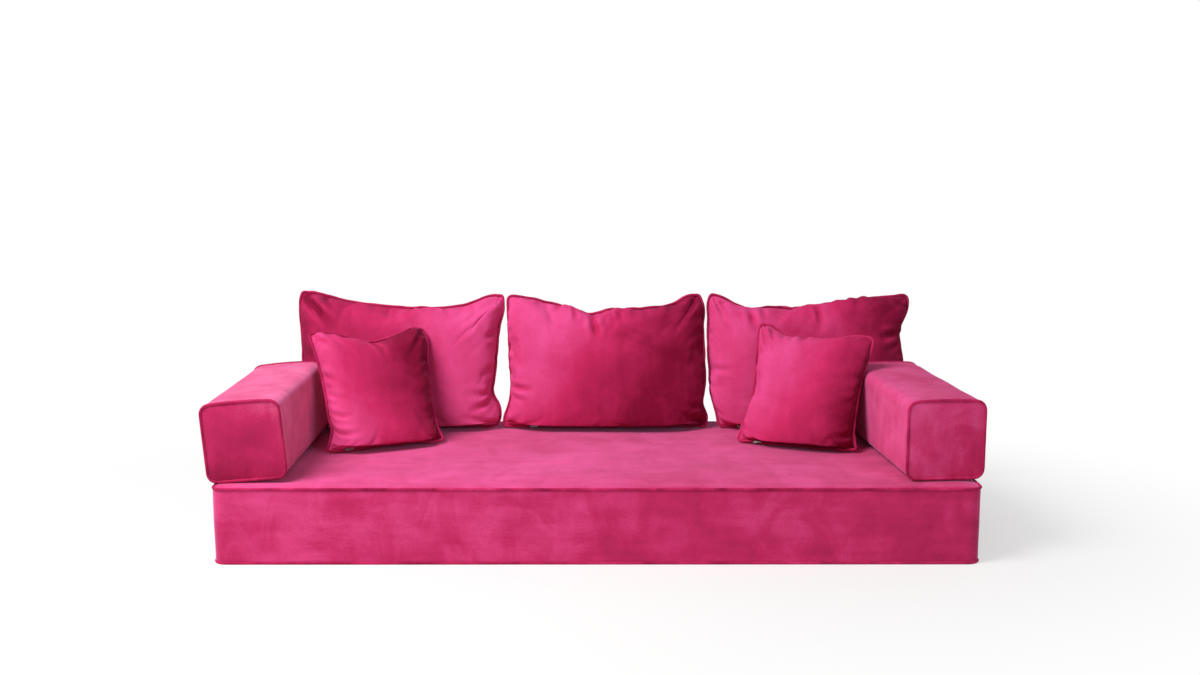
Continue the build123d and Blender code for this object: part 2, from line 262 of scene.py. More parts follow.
def boxed_form(us, vs, ws, corner):
    """vertices and faces of a closed box along w, with what shapes it: the part (-1 and 1 are the
    ends, 0 the band), the inset on the ends, and the outward way on the band"""
    gu, gv, inset = rounded_grid(us, vs, corner)
    end = np.stack([gu.ravel(), gv.ravel()], 1)
    grid = np.arange(len(end)).reshape(gu.shape)
    loop = edge_loop(grid)
    seam = end[loop]
    along = np.roll(seam, -1, 0) - np.roll(seam, 1, 0)
    out = np.stack([along[:, 1], -along[:, 0]], 1)
    out /= np.linalg.norm(out, axis=1)[:, None]

    end_layer = (end, inset.ravel(), np.zeros_like(end))
    band_layer = (seam, np.zeros(len(seam)), out)
    points, part, reach, way, rings, start = [], [], [], [], [], 0
    for number, w in enumerate(ws):
        kind = {0: -1, len(ws) - 1: 1}.get(number, 0)
        flat, depth, outward_way = end_layer if kind else band_layer
        points.append(np.column_stack([flat, np.full(len(flat), w)]))
        part.append(np.full(len(flat), kind))
        reach.append(depth)
        way.append(outward_way)
        rings.append(start + (loop if kind else np.arange(len(loop))))
        start += len(flat)
    low = facing_back(grid_faces(grid))
    high = low[:, ::-1] + start - len(end)
    faces = low.tolist() + high.tolist()
    for below, above in zip(rings, rings[1:]):
        side = np.stack([below, np.roll(below, -1), np.roll(above, -1), above], 1)
        faces += side.tolist()
    return (np.concatenate(points), faces, np.concatenate(part), np.concatenate(reach),
            np.concatenate(way), loop)


def puckers(along, depth, seed, pitch=0.021, fade=0.02):
    """short gathers next to a seam: along runs with the seam, depth away from it"""
    uneven_length, slant = 0.3, 0.3
    dice = np.random.default_rng(seed)
    wide = np.column_stack([along, np.zeros_like(along), np.zeros_like(along)])
    strength = 0.5 + 0.5 * np.clip(waves(wide, uneven_length, seed + 1), -1, 1)
    line = np.column_stack([along, depth * slant, np.full_like(along, dice.uniform(0, 9))])
    return waves(line, pitch, seed + 2) * strength * np.exp(-depth / fade)


# Piping


def run_of(line):
    """how far along a line each of its points lies"""
    return np.concatenate([[0], np.cumsum(np.linalg.norm(np.diff(line, axis=0), axis=1))])


def even_loop(path, spacing):
    """the closed path at even spacing"""
    fewest = 12
    closed = np.vstack([path, path[:1]])
    run = run_of(closed)
    count = max(int(round(run[-1] / spacing)), fewest)
    at = np.linspace(0, run[-1], count, endpoint=False)
    return np.column_stack([np.interp(at, run, closed[:, k]) for k in range(3)])


def eased_loop(path, rounds):
    """the closed path with its short waves taken out, a little more by each round"""
    for _ in range(rounds):
        path = (np.roll(path, 1, 0) + 2 * path + np.roll(path, -1, 0)) / 4
    return path


def tube(path, radius, facing, sides=PIPING_SIDES):
    """points, faces and UV of a closed round tube; facing gives the way out of the flat loop"""
    count = len(path)
    ahead = np.roll(path, -1, 0) - np.roll(path, 1, 0)
    ahead /= np.linalg.norm(ahead, axis=1)[:, None]
    across = np.cross(ahead, facing)
    across /= np.linalg.norm(across, axis=1)[:, None]
    up = np.cross(across, ahead)
    turn = np.arange(sides) * 2 * np.pi / sides
    ring = across[:, None] * np.cos(turn)[None, :, None] + up[:, None] * np.sin(turn)[None, :, None]
    radius = np.broadcast_to(radius, (count,))
    points = (path[:, None] + ring * radius[:, None, None]).reshape(-1, 3)
    i, j = np.meshgrid(np.arange(count), np.arange(sides), indexing="ij")
    i2, j2 = (i + 1) % count, (j + 1) % sides
    faces = np.stack([i * sides + j, i * sides + j2, i2 * sides + j2, i2 * sides + j], -1)
    run = run_of(np.vstack([path, path[:1]]))
    u0, u1 = run[i], run[i + 1]
    v0, v1 = j / sides, (j + 1) / sides
    corners = [np.stack(pair, -1) for pair in ((u0, v0), (u0, v1), (u1, v1), (u1, v0))]
    uv = np.stack(corners, -2)
    return points, faces.reshape(-1, 4), uv.reshape(-1, 2)


def piping_piece(name, loops, body, node):
    """one or more closed rings of piping in one mesh; each loop comes with the way it faces"""
    apart = 3.7  # the rings' unevenness is read this far apart
    points, faces, uv, start = [], [], [], 0
    for number, (path, facing) in enumerate(loops):
        path = even_loop(path, PIPING_STEP)
        run = np.column_stack([np.arange(len(path)) * PIPING_STEP,
                               np.full(len(path), number * apart), np.zeros(len(path))])
        uneven = np.clip(waves(run, PIPING_UNEVEN_LENGTH, seed=11), -1, 1)
        thick = PIPING * (1 - PIPING_UNEVEN + PIPING_UNEVEN * uneven)
        p, f, t = tube(path, thick, facing)
        points.append(p)
        faces.append(f + start)
        uv.append(t)
        start += len(p)
    ring = add_mesh(name, np.concatenate(points), np.concatenate(faces).tolist(),
                    np.concatenate(uv))
    return finish_piece(ring, body, [node], trim_velvet)


# Shader groups and materials


def new_group(name, inputs, outputs):
    """a shader group with named sockets, and its input and output nodes"""
    group = bpy.data.node_groups.new(name, "ShaderNodeTree")
    for label, kind, value in inputs:
        socket = group.interface.new_socket(label, in_out="INPUT", socket_type=kind)
        if value is not None:
            socket.default_value = value
    for label, kind in outputs:
        group.interface.new_socket(label, in_out="OUTPUT", socket_type=kind)
    return group, group.nodes.new("NodeGroupInput"), group.nodes.new("NodeGroupOutput")


def feed(tree, socket, value):
    """sets an input to a number, a colour or another node's output"""
    if isinstance(value, bpy.types.NodeSocket):
        tree.links.new(value, socket)
    else:
        socket.default_value = value


def add_node(tree, kind, setting=None, **values):
    """a node with its inputs fed by name; setting holds what isn't an input"""
    made = tree.nodes.new(kind)
    for key, value in (setting or {}).items():
        setattr(made, key, value)
    for key, value in values.items():
        feed(tree, made.inputs[key.replace("_", " ")], value)
    return made


def sum_of(tree, operation, first, second):
    """one sum with two numbers or sockets"""
    made = add_node(tree, "ShaderNodeMath", {"operation": operation})
    feed(tree, made.inputs[0], first)
    feed(tree, made.inputs[1], second)
    return made.outputs[0]


def object_place(tree):
    """the place on the sofa itself, in metres"""
    return tree.nodes.new("ShaderNodeTexCoord").outputs["Object"]


def noise_of(tree, place, scale, detail=2.0, roughness=0.5, stretch=None, distortion=0.0):
    """noise read at a place; scale may be a number or a socket"""
    if stretch is not None:
        place = add_node(tree, "ShaderNodeMapping", Scale=stretch, Vector=place).outputs["Vector"]
    made = add_node(tree, "ShaderNodeTexNoise", Scale=scale, Detail=detail, Roughness=roughness,
                    Distortion=distortion, Vector=place)
    return made.outputs["Fac"]


def ranged(tree, value, low, high, new_low, new_high):
    """value from low to high, turned into a number from new_low to new_high"""
    made = add_node(tree, "ShaderNodeMapRange", {"interpolation_type": "SMOOTHSTEP"}, Value=value,
                    From_Min=low, From_Max=high, To_Min=new_low, To_Max=new_high)
    return made.outputs["Result"]


def blend(tree, share, first, second):
    """a colour between two, by a share of the second"""
    made = add_node(tree, "ShaderNodeMix", {"data_type": "RGBA"})
    for label, value in (("Factor", share), ("A", first), ("B", second)):
        feed(tree, made.inputs[label], value)
    return made.outputs["Result"]


def velvet_nap_group():
    """colour and height of velvet: soft patches, smudges, hand marks, streaks and fibres, and the
    painted light and shade given as Shading
    """
    group, given, result = new_group("velvet nap", [
        ("Place", "NodeSocketVector", None),
        ("Deep", "NodeSocketColor", DEEP),
        ("Middle", "NodeSocketColor", MIDDLE),
        ("Pale", "NodeSocketColor", PALE),
        ("Patch size", "NodeSocketFloat", 5.0),
        ("Smudges", "NodeSocketFloat", 0.3),
        ("Streaks", "NodeSocketFloat", 0.2),
        ("Brushed", "NodeSocketFloat", 0.0),
    ], [("Color", "NodeSocketColor"), ("Height", "NodeSocketFloat")])
    place = given.outputs["Place"]

    def spread(noise, low=0.3, high=0.7):
        """noise as a number about 0, between -0.5 and 0.5"""
        return ranged(group, noise, low, high, -0.5, 0.5)

    patch = spread(noise_of(group, place, given.outputs["Patch size"], stretch=(1, 1, 0.8)))
    smudge = spread(noise_of(group, place, 8.5, detail=3, roughness=0.55, stretch=(1, 1, 1.3),
                             distortion=0.8))

    # hand marks have sharp edges, and are only where the cover was touched
    mark = spread(noise_of(group, place, 5.0, detail=1, roughness=0.4, stretch=(1, 1, 1.4),
                           distortion=1.0), 0.53, 0.57)
    touched = ranged(group, noise_of(group, place, 2.6, detail=1), 0.48, 0.62, 0.0, 0.35)
    mark = sum_of(group, "MULTIPLY", mark, touched)
    marks = sum_of(group, "MULTIPLY", sum_of(group, "ADD", smudge, mark),
                   given.outputs["Smudges"])
    streak = spread(noise_of(group, place, 26.0, detail=3, roughness=0.6, stretch=(1, 1, 0.16)))
    streaks = sum_of(group, "MULTIPLY", streak, given.outputs["Streaks"])
    fine = noise_of(group, place, 420.0, roughness=0.6, stretch=(1, 1, 0.5))
    fibre = sum_of(group, "MULTIPLY", spread(fine, 0.25, 0.75), FIBRE_SHARE)
    total = sum_of(group, "MULTIPLY", patch, PATCH_SHARE)
    for part in (marks, streaks, fibre, given.outputs["Brushed"]):
        total = sum_of(group, "ADD", total, part)

    # the lower half of the share goes from Deep to Middle, and the upper half on to Pale
    twice = sum_of(group, "MULTIPLY", sum_of(group, "ADD", total, 0.5), 2.0)
    darker = blend(group, twice, given.outputs["Deep"], given.outputs["Middle"])
    colour = blend(group, sum_of(group, "SUBTRACT", twice, 1.0), darker, given.outputs["Pale"])
    group.links.new(colour, result.inputs["Color"])
    pile = sum_of(group, "ADD", sum_of(group, "MULTIPLY", fine, 0.7),
                  sum_of(group, "MULTIPLY", streak, 0.3))
    group.links.new(pile, result.inputs["Height"])
    return group


def new_material(name):
    """a material, its node tree and its shader"""
    material = bpy.data.materials.new(name)
    material.use_nodes = True
    tree = material.node_tree
    return material, tree, tree.nodes["Principled BSDF"]


def add_bump(tree, shader, height, distance, strength):
    """lets a height show on the surface; distance is how high it stands, in metres"""
    bump = add_node(tree, "ShaderNodeBump", Distance=distance, Strength=strength, Height=height)
    tree.links.new(bump.outputs["Normal"], shader.inputs["Normal"])


# Velvet: its colours from deep to pale, which are also the ends of its painted shade and painted
# light, its finish, and how far painted light and shade can go either way
DEEP, MIDDLE, PALE = (0.19, 0.002, 0.028, 1), (0.49, 0.019, 0.102, 1), (0.68, 0.072, 0.250, 1)
PAINTED_LIGHT_PALE = (0.83, 0.150, 0.325, 1)  # the left bolster's paler pale: painted light on its top and sides
ROUGHNESS, GLOSS = 0.8, 0.08
SHEEN_ROUGHNESS, SHEEN_TINT = 0.42, (1.0, 0.5, 0.95, 1)
PATCH_SHARE, FIBRE_SHARE = 0.15, 0.1
PILE_HEIGHT, PILE_STRENGTH = 0.0006, 0.5
DEEPEST_PAINTED_SHADE, PALEST_PAINTED_LIGHT = -0.5, 0.32
PIPING_PAINTED_SHADE, PIPING_SHEEN = -0.14, 0.1

# What a cover notes for its velvet: painted shade in folds and beside seams, and painted light on
# the folds' lips and the seat's top
LIGHT_AND_SHADE_MARK = "light_and_shade_mark"
FOLD_SHADE = 0.3
FOLD_DEPTH = 0.012  # a fold this deep gets the darkest painted shade
SEAM_SHADE, SEAM_SHADE_REACH = 0.35, 0.010

velvet_nap = velvet_nap_group()


def pile_finish(shader, sheen):
    """the soft veil that short upright fibres give"""
    shader.inputs["Roughness"].default_value = ROUGHNESS
    shader.inputs["Specular IOR Level"].default_value = GLOSS
    shader.inputs["Sheen Weight"].default_value = sheen
    shader.inputs["Sheen Roughness"].default_value = SHEEN_ROUGHNESS
    shader.inputs["Sheen Tint"].default_value = SHEEN_TINT


def nap_of(tree, place, pale, **values):
    """the nap group placed in a velvet, with its own values"""
    return add_node(tree, "ShaderNodeGroup", {"node_tree": velvet_nap}, Place=place, Deep=DEEP,
                    Middle=MIDDLE, Pale=pale, **values)


def velvet(name, pale, sheen, patch, smudges, streaks, turn, centre, light_slope, shading_share=FOLD_SHADE):
    """velvet with painted light and shade: about centre it gets paler along light_slope as painted
    light and darker against it as painted shade, and it is paler or darker by shading_share where
    the cover's light-and-shade mark says so. Patch is how fine its patches are, and smudges and
    streaks how strong."""
    material, tree, shader = new_material(name)
    here = object_place(tree)
    turned_pile = add_node(tree, "ShaderNodeMapping", Rotation=[math.radians(a) for a in turn],
                           Vector=here)
    along = add_node(tree, "ShaderNodeVectorMath", {"operation": "DOT_PRODUCT"})
    feed(tree, along.inputs[0], here)
    feed(tree, along.inputs[1], light_slope)
    painted_shading = sum_of(tree, "SUBTRACT", along.outputs["Value"], float(np.dot(centre, light_slope)))
    # the painted light and painted shade that the cover notes at its points
    noted = add_node(tree, "ShaderNodeAttribute", {"attribute_name": LIGHT_AND_SHADE_MARK})
    painted_shading = sum_of(tree, "ADD", painted_shading, sum_of(tree, "MULTIPLY", noted.outputs["Fac"], shading_share))
    painted_shading = sum_of(tree, "MINIMUM", painted_shading, PALEST_PAINTED_LIGHT)
    painted_shading = sum_of(tree, "MAXIMUM", painted_shading, DEEPEST_PAINTED_SHADE)
    nap = nap_of(tree, turned_pile.outputs["Vector"], pale, Patch_size=patch, Smudges=smudges,
                 Streaks=streaks, Brushed=painted_shading)
    tree.links.new(nap.outputs["Color"], shader.inputs["Base Color"])
    pile_finish(shader, sheen)
    add_bump(tree, shader, nap.outputs["Height"], PILE_HEIGHT, PILE_STRENGTH)
    return material


def piping_velvet():
    """velvet cut on the bias round a cord, with faint slanting gathers and a painted shade that
    keeps it darker than the covers
    """
    material, tree, shader = new_material("piping velvet")
    nap = nap_of(tree, object_place(tree), PALE, Brushed=PIPING_PAINTED_SHADE)
    tree.links.new(nap.outputs["Color"], shader.inputs["Base Color"])
    along = add_node(tree, "ShaderNodeUVMap", {"uv_map": "along"})
    slant = add_node(tree, "ShaderNodeMapping", Scale=(90, 1.0, 1), Rotation=(0, 0, 0.5),
                     Vector=along.outputs["UV"])
    gather = noise_of(tree, slant.outputs["Vector"], 1.6)
    height = sum_of(tree, "ADD", sum_of(tree, "MULTIPLY", nap.outputs["Height"], 0.3), gather)
    pile_finish(shader, PIPING_SHEEN)
    add_bump(tree, shader, height, distance=0.0012, strength=0.5)
    return material


def zip_metal():
    """nickel-plated zinc, a little uneven from handling"""
    material, tree, shader = new_material("zip metal")
    wear = noise_of(tree, object_place(tree), 260.0, detail=3, roughness=0.6)
    colour = blend(tree, wear, (0.22, 0.215, 0.21, 1), (0.36, 0.35, 0.34, 1))
    tree.links.new(colour, shader.inputs["Base Color"])
    dull = ranged(tree, wear, 0.3, 0.7, new_low=0.45, new_high=0.65)
    tree.links.new(dull, shader.inputs["Roughness"])
    shader.inputs["Metallic"].default_value = 1.0
    add_bump(tree, shader, wear, distance=0.0001, strength=0.4)
    return material


def woven_tape():
    """polyester zip tape with a fine herringbone"""
    material, tree, shader = new_material("zip tape weave")
    weave = add_node(tree, "ShaderNodeTexWave",
                     {"wave_type": "BANDS", "bands_direction": "DIAGONAL"}, Scale=420.0,
                     Distortion=0.6, Vector=object_place(tree)).outputs["Fac"]
    colour = blend(tree, weave, (0.22, 0.006, 0.04, 1), (0.40, 0.012, 0.075, 1))
    tree.links.new(colour, shader.inputs["Base Color"])
    shader.inputs["Roughness"].default_value = 0.7
    add_bump(tree, shader, weave, distance=0.0002, strength=0.6)
    return material


def dyed_coil():
    """nylon zip coil, dyed to match the velvet"""
    material, tree, shader = new_material("dyed coil")
    cloud = noise_of(tree, object_place(tree), 90.0)
    colour = blend(tree, cloud, (0.18, 0.003, 0.026, 1), (0.32, 0.006, 0.050, 1))
    tree.links.new(colour, shader.inputs["Base Color"])
    dull = ranged(tree, cloud, 0.3, 0.7, new_low=0.55, new_high=0.7)
    tree.links.new(dull, shader.inputs["Roughness"])
    return material


def cut_foam():
    """pale polyurethane foam with fine open cells"""
    material, tree, shader = new_material("cut foam")
    here = object_place(tree)
    cells = add_node(tree, "ShaderNodeTexVoronoi", Scale=600.0, Vector=here)
    cloud = noise_of(tree, here, 7.0, detail=3)
    colour = blend(tree, cloud, (0.80, 0.70, 0.42, 1), (0.86, 0.80, 0.58, 1))
    tree.links.new(colour, shader.inputs["Base Color"])
    shader.inputs["Roughness"].default_value = 0.95
    add_bump(tree, shader, cells.outputs["Distance"], distance=0.0008, strength=0.7)
    return material


def pad_ticking():
    """white non-woven cloth round the fibre filling"""
    material, tree, shader = new_material("pad ticking")
    fibres = noise_of(tree, object_place(tree), 300.0, detail=4, roughness=0.7)
    colour = blend(tree, fibres, (0.70, 0.70, 0.68, 1), (0.82, 0.82, 0.80, 1))
    tree.links.new(colour, shader.inputs["Base Color"])
    shader.inputs["Roughness"].default_value = 0.9
    add_bump(tree, shader, fibres, distance=0.0004, strength=0.6)
    return material


# Each cover's velvet: the way its patches are turned, and where and which way its painted light and
# shade run
STANDING, LEANING = (15, 0, 35), (25, 0, -20)
# the seat's velvet is a lit copy: a paler pale, painted light towards its top and the left, and
# painted shade towards the bottom and the right
seat_velvet = velvet("seat velvet", pale=(0.80, 0.085, 0.29, 1), sheen=0.6, patch=3.2,
                     smudges=0.16, streaks=0.11, turn=(0, 90, 0), centre=(0, 0, 0.02),
                     light_slope=(-0.09, 0, 0.35), shading_share=0.13)
# the bolsters' velvets are lit and shaded copies: the left one pale behind its front face as
# painted light, with the face darker as painted shade; the right one less pale, paler on its inner
# side and top and darker on its outer side, as painted light and shade
arm_velvets = {
    "left_arm": velvet("left arm velvet", pale=PAINTED_LIGHT_PALE, sheen=0.4, patch=6.0, smudges=0.16,
                       streaks=0.07, turn=(0, 0, 0), centre=(-0.90, -0.353, 0.32),
                       light_slope=(0.8, 12.0, 1.2)),
    "right_arm": velvet("right arm velvet", pale=(0.72, 0.090, 0.27, 1), sheen=0.25, patch=6.0,
                        smudges=0.22, streaks=0.09, turn=(0, 0, 0), centre=(1.05, -0.1, 0.32),
                        light_slope=(-1.1, 0, 0.4)),
}
# each cushion's velvet is paler on one side as painted light and darker on the other as painted
# shade: most are paler to the left, the left cushion to the right
cushion_velvets = {
    "left_back": velvet("left back velvet", pale=PALE, sheen=0.1, patch=4.5, smudges=0.12,
                        streaks=0.08, turn=STANDING, centre=(-0.66, 0, 0.36), light_slope=(1.3, 0, 0)),
    "middle_back": velvet("middle back velvet", pale=PALE, sheen=0.1, patch=4.2, smudges=0.13,
                          streaks=0.08, turn=STANDING, centre=(-0.03, 0, 0.42),
                          light_slope=(-1.9, 0, 1.2)),
    "right_back": velvet("right back velvet", pale=PALE, sheen=0.1, patch=4.4, smudges=0.15,
                         streaks=0.09, turn=STANDING, centre=(0.68, 0, 0.42),
                         light_slope=(-1.5, 0, 0)),
    "left_throw": velvet("left throw velvet", pale=PALE, sheen=0.1, patch=5.5, smudges=0.10,
                         streaks=0.07, turn=LEANING, centre=(-0.64, 0, 0.35),
                         light_slope=(-2.9, 0, -1.6)),
    "right_throw": velvet("right throw velvet", pale=PALE, sheen=0.1, patch=5.2, smudges=0.10,
                          streaks=0.07, turn=LEANING, centre=(0.60, 0, 0.38),
                          light_slope=(-3.0, 0, 2.4)),
}
trim_velvet = piping_velvet()
metal = zip_metal()
coil = dyed_coil()
tape_cloth = woven_tape()
foam_core = cut_foam()
ticking = pad_ticking()


# Zips: coil teeth along a line, made with geometry nodes


def zip_teeth_tree():
    """a row of small teeth that stand left and right of a line along X"""
    tree = bpy.data.node_groups.new("zip teeth", "GeometryNodeTree")
    face = tree.interface
    face.new_socket("Geometry", in_out="OUTPUT", socket_type="NodeSocketGeometry")
    for label, value in (("Length", 0.2), ("Pitch", TOOTH_PITCH), ("Tooth width", TOOTH_WIDTH),
                         ("Tooth height", TOOTH_HEIGHT)):
        socket = face.new_socket(label, in_out="INPUT", socket_type="NodeSocketFloat")
        socket.default_value = value
    face.new_socket("Material", in_out="INPUT", socket_type="NodeSocketMaterial")
    given, result = tree.nodes.new("NodeGroupInput"), tree.nodes.new("NodeGroupOutput")
    length, pitch = given.outputs["Length"], given.outputs["Pitch"]
    width, height = given.outputs["Tooth width"], given.outputs["Tooth height"]

    def times(first, second):
        return sum_of(tree, "MULTIPLY", first, second)

    def vector_of(x, y, z):
        return add_node(tree, "ShaderNodeCombineXYZ", X=x, Y=y, Z=z).outputs[0]

    count = sum_of(tree, "FLOOR", sum_of(tree, "DIVIDE", length, pitch), 0)
    start = vector_of(times(pitch, 0.5), 0, 0)
    line = add_node(tree, "GeometryNodeMeshLine", {"mode": "OFFSET"}, Count=count,
                    Start_Location=start, Offset=vector_of(pitch, 0, 0))

    # every other tooth stands on the other side of the line
    number = tree.nodes.new("GeometryNodeInputIndex").outputs[0]
    side = sum_of(tree, "SUBTRACT", times(sum_of(tree, "MODULO", number, 2), 2), 1)
    shift = times(side, times(width, TOOTH_STAGGER))
    move = add_node(tree, "GeometryNodeSetPosition", Geometry=line.outputs[0],
                    Offset=vector_of(0, shift, times(height, 0.5)))
    tooth = add_node(tree, "GeometryNodeMeshCylinder", Vertices=8, Radius=0.5, Depth=1.0)
    spread = add_node(tree, "GeometryNodeInstanceOnPoints", Points=move.outputs[0],
                      Instance=tooth.outputs["Mesh"],
                      Scale=vector_of(times(pitch, TOOTH_SHARE), width, height))
    whole = add_node(tree, "GeometryNodeRealizeInstances", Geometry=spread.outputs[0])
    paint = add_node(tree, "GeometryNodeSetMaterial", Geometry=whole.outputs[0],
                     Material=given.outputs["Material"])
    tree.links.new(paint.outputs[0], result.inputs[0])
    return tree


teeth_tree = zip_teeth_tree()


def with_boxes(points, faces, boxes):
    """a shape with plain boxes added to it; each box is two of its corners"""
    box_faces = np.array([(0, 3, 2, 1), (4, 5, 6, 7), (0, 1, 5, 4), (1, 2, 6, 5), (2, 3, 7, 6),
                          (3, 0, 4, 7)])
    for (x0, y0, z0), (x1, y1, z1) in boxes:
        faces = faces + (box_faces + len(points)).tolist()
        points = np.vstack([points, [(x0, y0, z0), (x1, y0, z0), (x1, y1, z0), (x0, y1, z0),
                                     (x0, y0, z1), (x1, y0, z1), (x1, y1, z1), (x0, y1, z1)]])
    return points, faces


def zip_parts(name, length):
    """the chain's teeth and stops, lying along X from 0, as points and faces"""
    holder = bpy.data.objects.new(name, bpy.data.meshes.new(name))
    scene.collection.objects.link(holder)
    rule = holder.modifiers.new("teeth", "NODES")
    rule.node_group = teeth_tree
    values = {"Length": length, "Pitch": TOOTH_PITCH, "Tooth width": TOOTH_WIDTH,
              "Tooth height": TOOTH_HEIGHT, "Material": coil}
    for item in teeth_tree.interface.items_tree:
        if item.in_out == "INPUT":
            rule[item.identifier] = values[item.name]
    evaluated(holder)
    points = points_of(holder.data)
    faces = [list(p.vertices) for p in holder.data.polygons]
    bpy.data.objects.remove(holder)
    stops = [((end, -STOP_HALF_WIDTH, 0), (end + STOP_LENGTH, STOP_HALF_WIDTH, STOP_HEIGHT))
             for end in (-STOP_LENGTH, length)]
    return with_boxes(points, faces, stops)


def zip_turn(along, out):
    """the turn of a zip: X along its chain and Z out of the cover"""
    return np.column_stack([along, np.cross(out, along), out])


def zip_pieces(name, at, turn, length, with_tape):
    """a zip laid in its place: turn holds its X, Y and Z ways as columns"""
    points, faces = zip_parts(name + "_teeth", length)
    node = name + ("_zip_tape" if with_tape else "_zip_chain")
    teeth = add_mesh(name + "_zip_teeth", placed(points, at, turn), faces)
    teeth.data.polygons.foreach_set("use_smooth", np.zeros(len(teeth.data.polygons), bool))
    finish_piece(teeth, name, [node], coil)
    if with_tape:
        strips = [((-STOP_LENGTH, near, -TAPE_THICK), (length + STOP_LENGTH, far, 0))
                  for near, far in ((-TAPE_HALF_WIDTH, -TAPE_GAP), (TAPE_GAP, TAPE_HALF_WIDTH))]
        points, faces = with_boxes(np.zeros((0, 3)), [], strips)
        tape = add_mesh(name + "_zip_cloth", placed(points, at, turn), faces)
        finish_piece(tape, name, [node], tape_cloth)
    for part in ("_zip_slider", "_zip_pull"):
        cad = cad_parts[name + part]
        cad.data.materials.clear()
        cad.data.materials.append(metal)


# Seat mattress: how far each panel swells, by the way in from its seam
SEAT_BAND_LOW, SEAT_BAND_HIGH = PIPING, SEAT_HEIGHT - PIPING
SEAT_TOP_RISE = [(0, 0), (0.003, 0.0008), (0.006, 0.0022), (0.010, 0.0036), (0.018, 0.0046),
                 (0.035, 0.0058), (0.060, 0.0074), (0.085, 0.0087), (0.110, 0.0095),
                 (0.140, 0.0098)]
SEAT_UNDERSIDE_RISE = [(0, 0), (0.004, 0.002), (0.012, 0.0039)]
SEAT_BAND_BULGE = [(0, 0), (0.003, 0.0006), (0.008, 0.001), (0.03, 0.0016), (0.1, 0.0022)]
SEAT_FOAM_RISE = [(0, 0), (0.02, 0.002), (0.1, 0.006)]
TOP_TRIM_SAG = 0.0005
UPRIGHT = np.array([0, 0, 1.0])


def build_seat_cover():
    """the top panel, side band and bottom panel as one skin; gives back the line of its seams"""
    gather_height, hollow_depth, ripple_height = 0.0007, 0.0008, 0.0003
    band_gather_height, bow_depth = 0.0006, 0.0009
    half_u, half_v = SEAT_HALF_LENGTH - PIPING_INSET, SEAT_HALF_DEPTH - PIPING_INSET
    middle_w = (SEAT_BAND_LOW + SEAT_BAND_HIGH) / 2
    us, vs = stations(half_u, SEAT_STEP), stations(half_v, SEAT_STEP)
    ws = stations((SEAT_BAND_HIGH - SEAT_BAND_LOW) / 2, BAND_STEP,
                  slot_rows(SEAT_ZIP_RISE - middle_w)) + middle_w
    points, faces, part, inset, way, loop = boxed_form(us, vs, ws, SEAT_CORNER)
    u, v, w = points.T
    top, bottom, band = part == 1, part == -1, part == 0

    edge_run = np.where(abs(v) >= abs(u) - (half_u - half_v), u, v)
    gathers = (puckers(edge_run + 3 * np.sign(u + v), inset, seed=21)
               * smooth_step(inset, low=0.002, high=0.008))
    swell = waves(points, length=0.45, seed=5) * smooth_step(inset, low=0.02, high=0.12)
    ripple = (waves(points * [1, 1.8, 1], length=0.16, seed=6)
              * smooth_step(inset, low=0.02, high=0.1))
    height = (profile(inset, SEAT_TOP_RISE) + gather_height * gathers
              + hollow_depth * np.minimum(swell, 0) + ripple_height * ripple)
    w = np.where(top, w + height, w)
    w = np.where(bottom, w - profile(inset, SEAT_UNDERSIDE_RISE), w)

    depth = np.minimum(w - SEAT_BAND_LOW, SEAT_BAND_HIGH - w)
    run = np.where(abs(way[:, 1]) > 0.5, u, v)
    gathers = puckers(run + 5 * np.sign(way[:, 0] + way[:, 1]), depth, seed=31)
    bow = (waves(np.column_stack([u, v, w * 0.6]), length=0.5, seed=7)
           * smooth_step(depth, low=0, high=0.04))
    push = (profile(depth, SEAT_BAND_BULGE)
            + band_gather_height * gathers * smooth_step(depth, low=0.001, high=0.006)
            + bow_depth * bow)
    rear = band & (v > half_v - 0.001)
    push = with_zip_slot(push, rear, abs(w - SEAT_ZIP_RISE),
                         abs(u) < SEAT_ZIP_HALF + SLOT_BEYOND_STOPS, SEAT_ZIP_FLAT)
    u = np.where(band, u + way[:, 0] * push, u)
    v = np.where(band, v + way[:, 1] * push, v)
    cover = add_mesh("seat_cover", np.column_stack([u, v, w]), faces)
    # painted light on the seat's top panel
    mark_light_and_shade(cover, top)
    finish_piece(cover, "seat", ["seat_top_panel", "seat_side_band", "seat_bottom_panel"],
                 seat_velvet)
    return points[loop, :2]


def build_seat():
    """the seat mattress: cover, piping round both panels, foam block and zip"""
    seam = build_seat_cover()
    for label, height in (("bottom", SEAT_BAND_LOW), ("top", SEAT_BAND_HIGH)):
        path = np.column_stack([seam, np.full(len(seam), height)])
        if label == "top":
            path[:, 2] += TOP_TRIM_SAG * np.minimum(waves(path, length=0.12, seed=42), 0)
        piping_piece("seat_%s_trim" % label, [(path, UPRIGHT)], "seat", "seat_%s_piping" % label)

    us, vs = [stations(half - FOAM_INSET, SEAT_FOAM_STEP)
              for half in (SEAT_HALF_LENGTH, SEAT_HALF_DEPTH)]
    ws = stations(SEAT_FOAM_HALF_HEIGHT, SEAT_FOAM_ROWS) + SEAT_FOAM_MIDDLE
    points, faces, part, inset, _, _ = boxed_form(us, vs, ws, SEAT_FOAM_CORNER)
    points[:, 2] += np.where(part == 1, profile(inset, SEAT_FOAM_RISE), 0)
    foam = add_mesh("seat_foam_core", points, faces)
    finish_piece(foam, "seat", ["seat_foam_block"], foam_core)

    turn = zip_turn(np.array([1.0, 0, 0]), np.array([0, 1.0, 0]))
    start = np.array([-SEAT_ZIP_HALF, SEAT_HALF_DEPTH - ZIP_SUNK, SEAT_ZIP_RISE])
    zip_pieces("seat", start, turn, 2 * SEAT_ZIP_HALF, True)


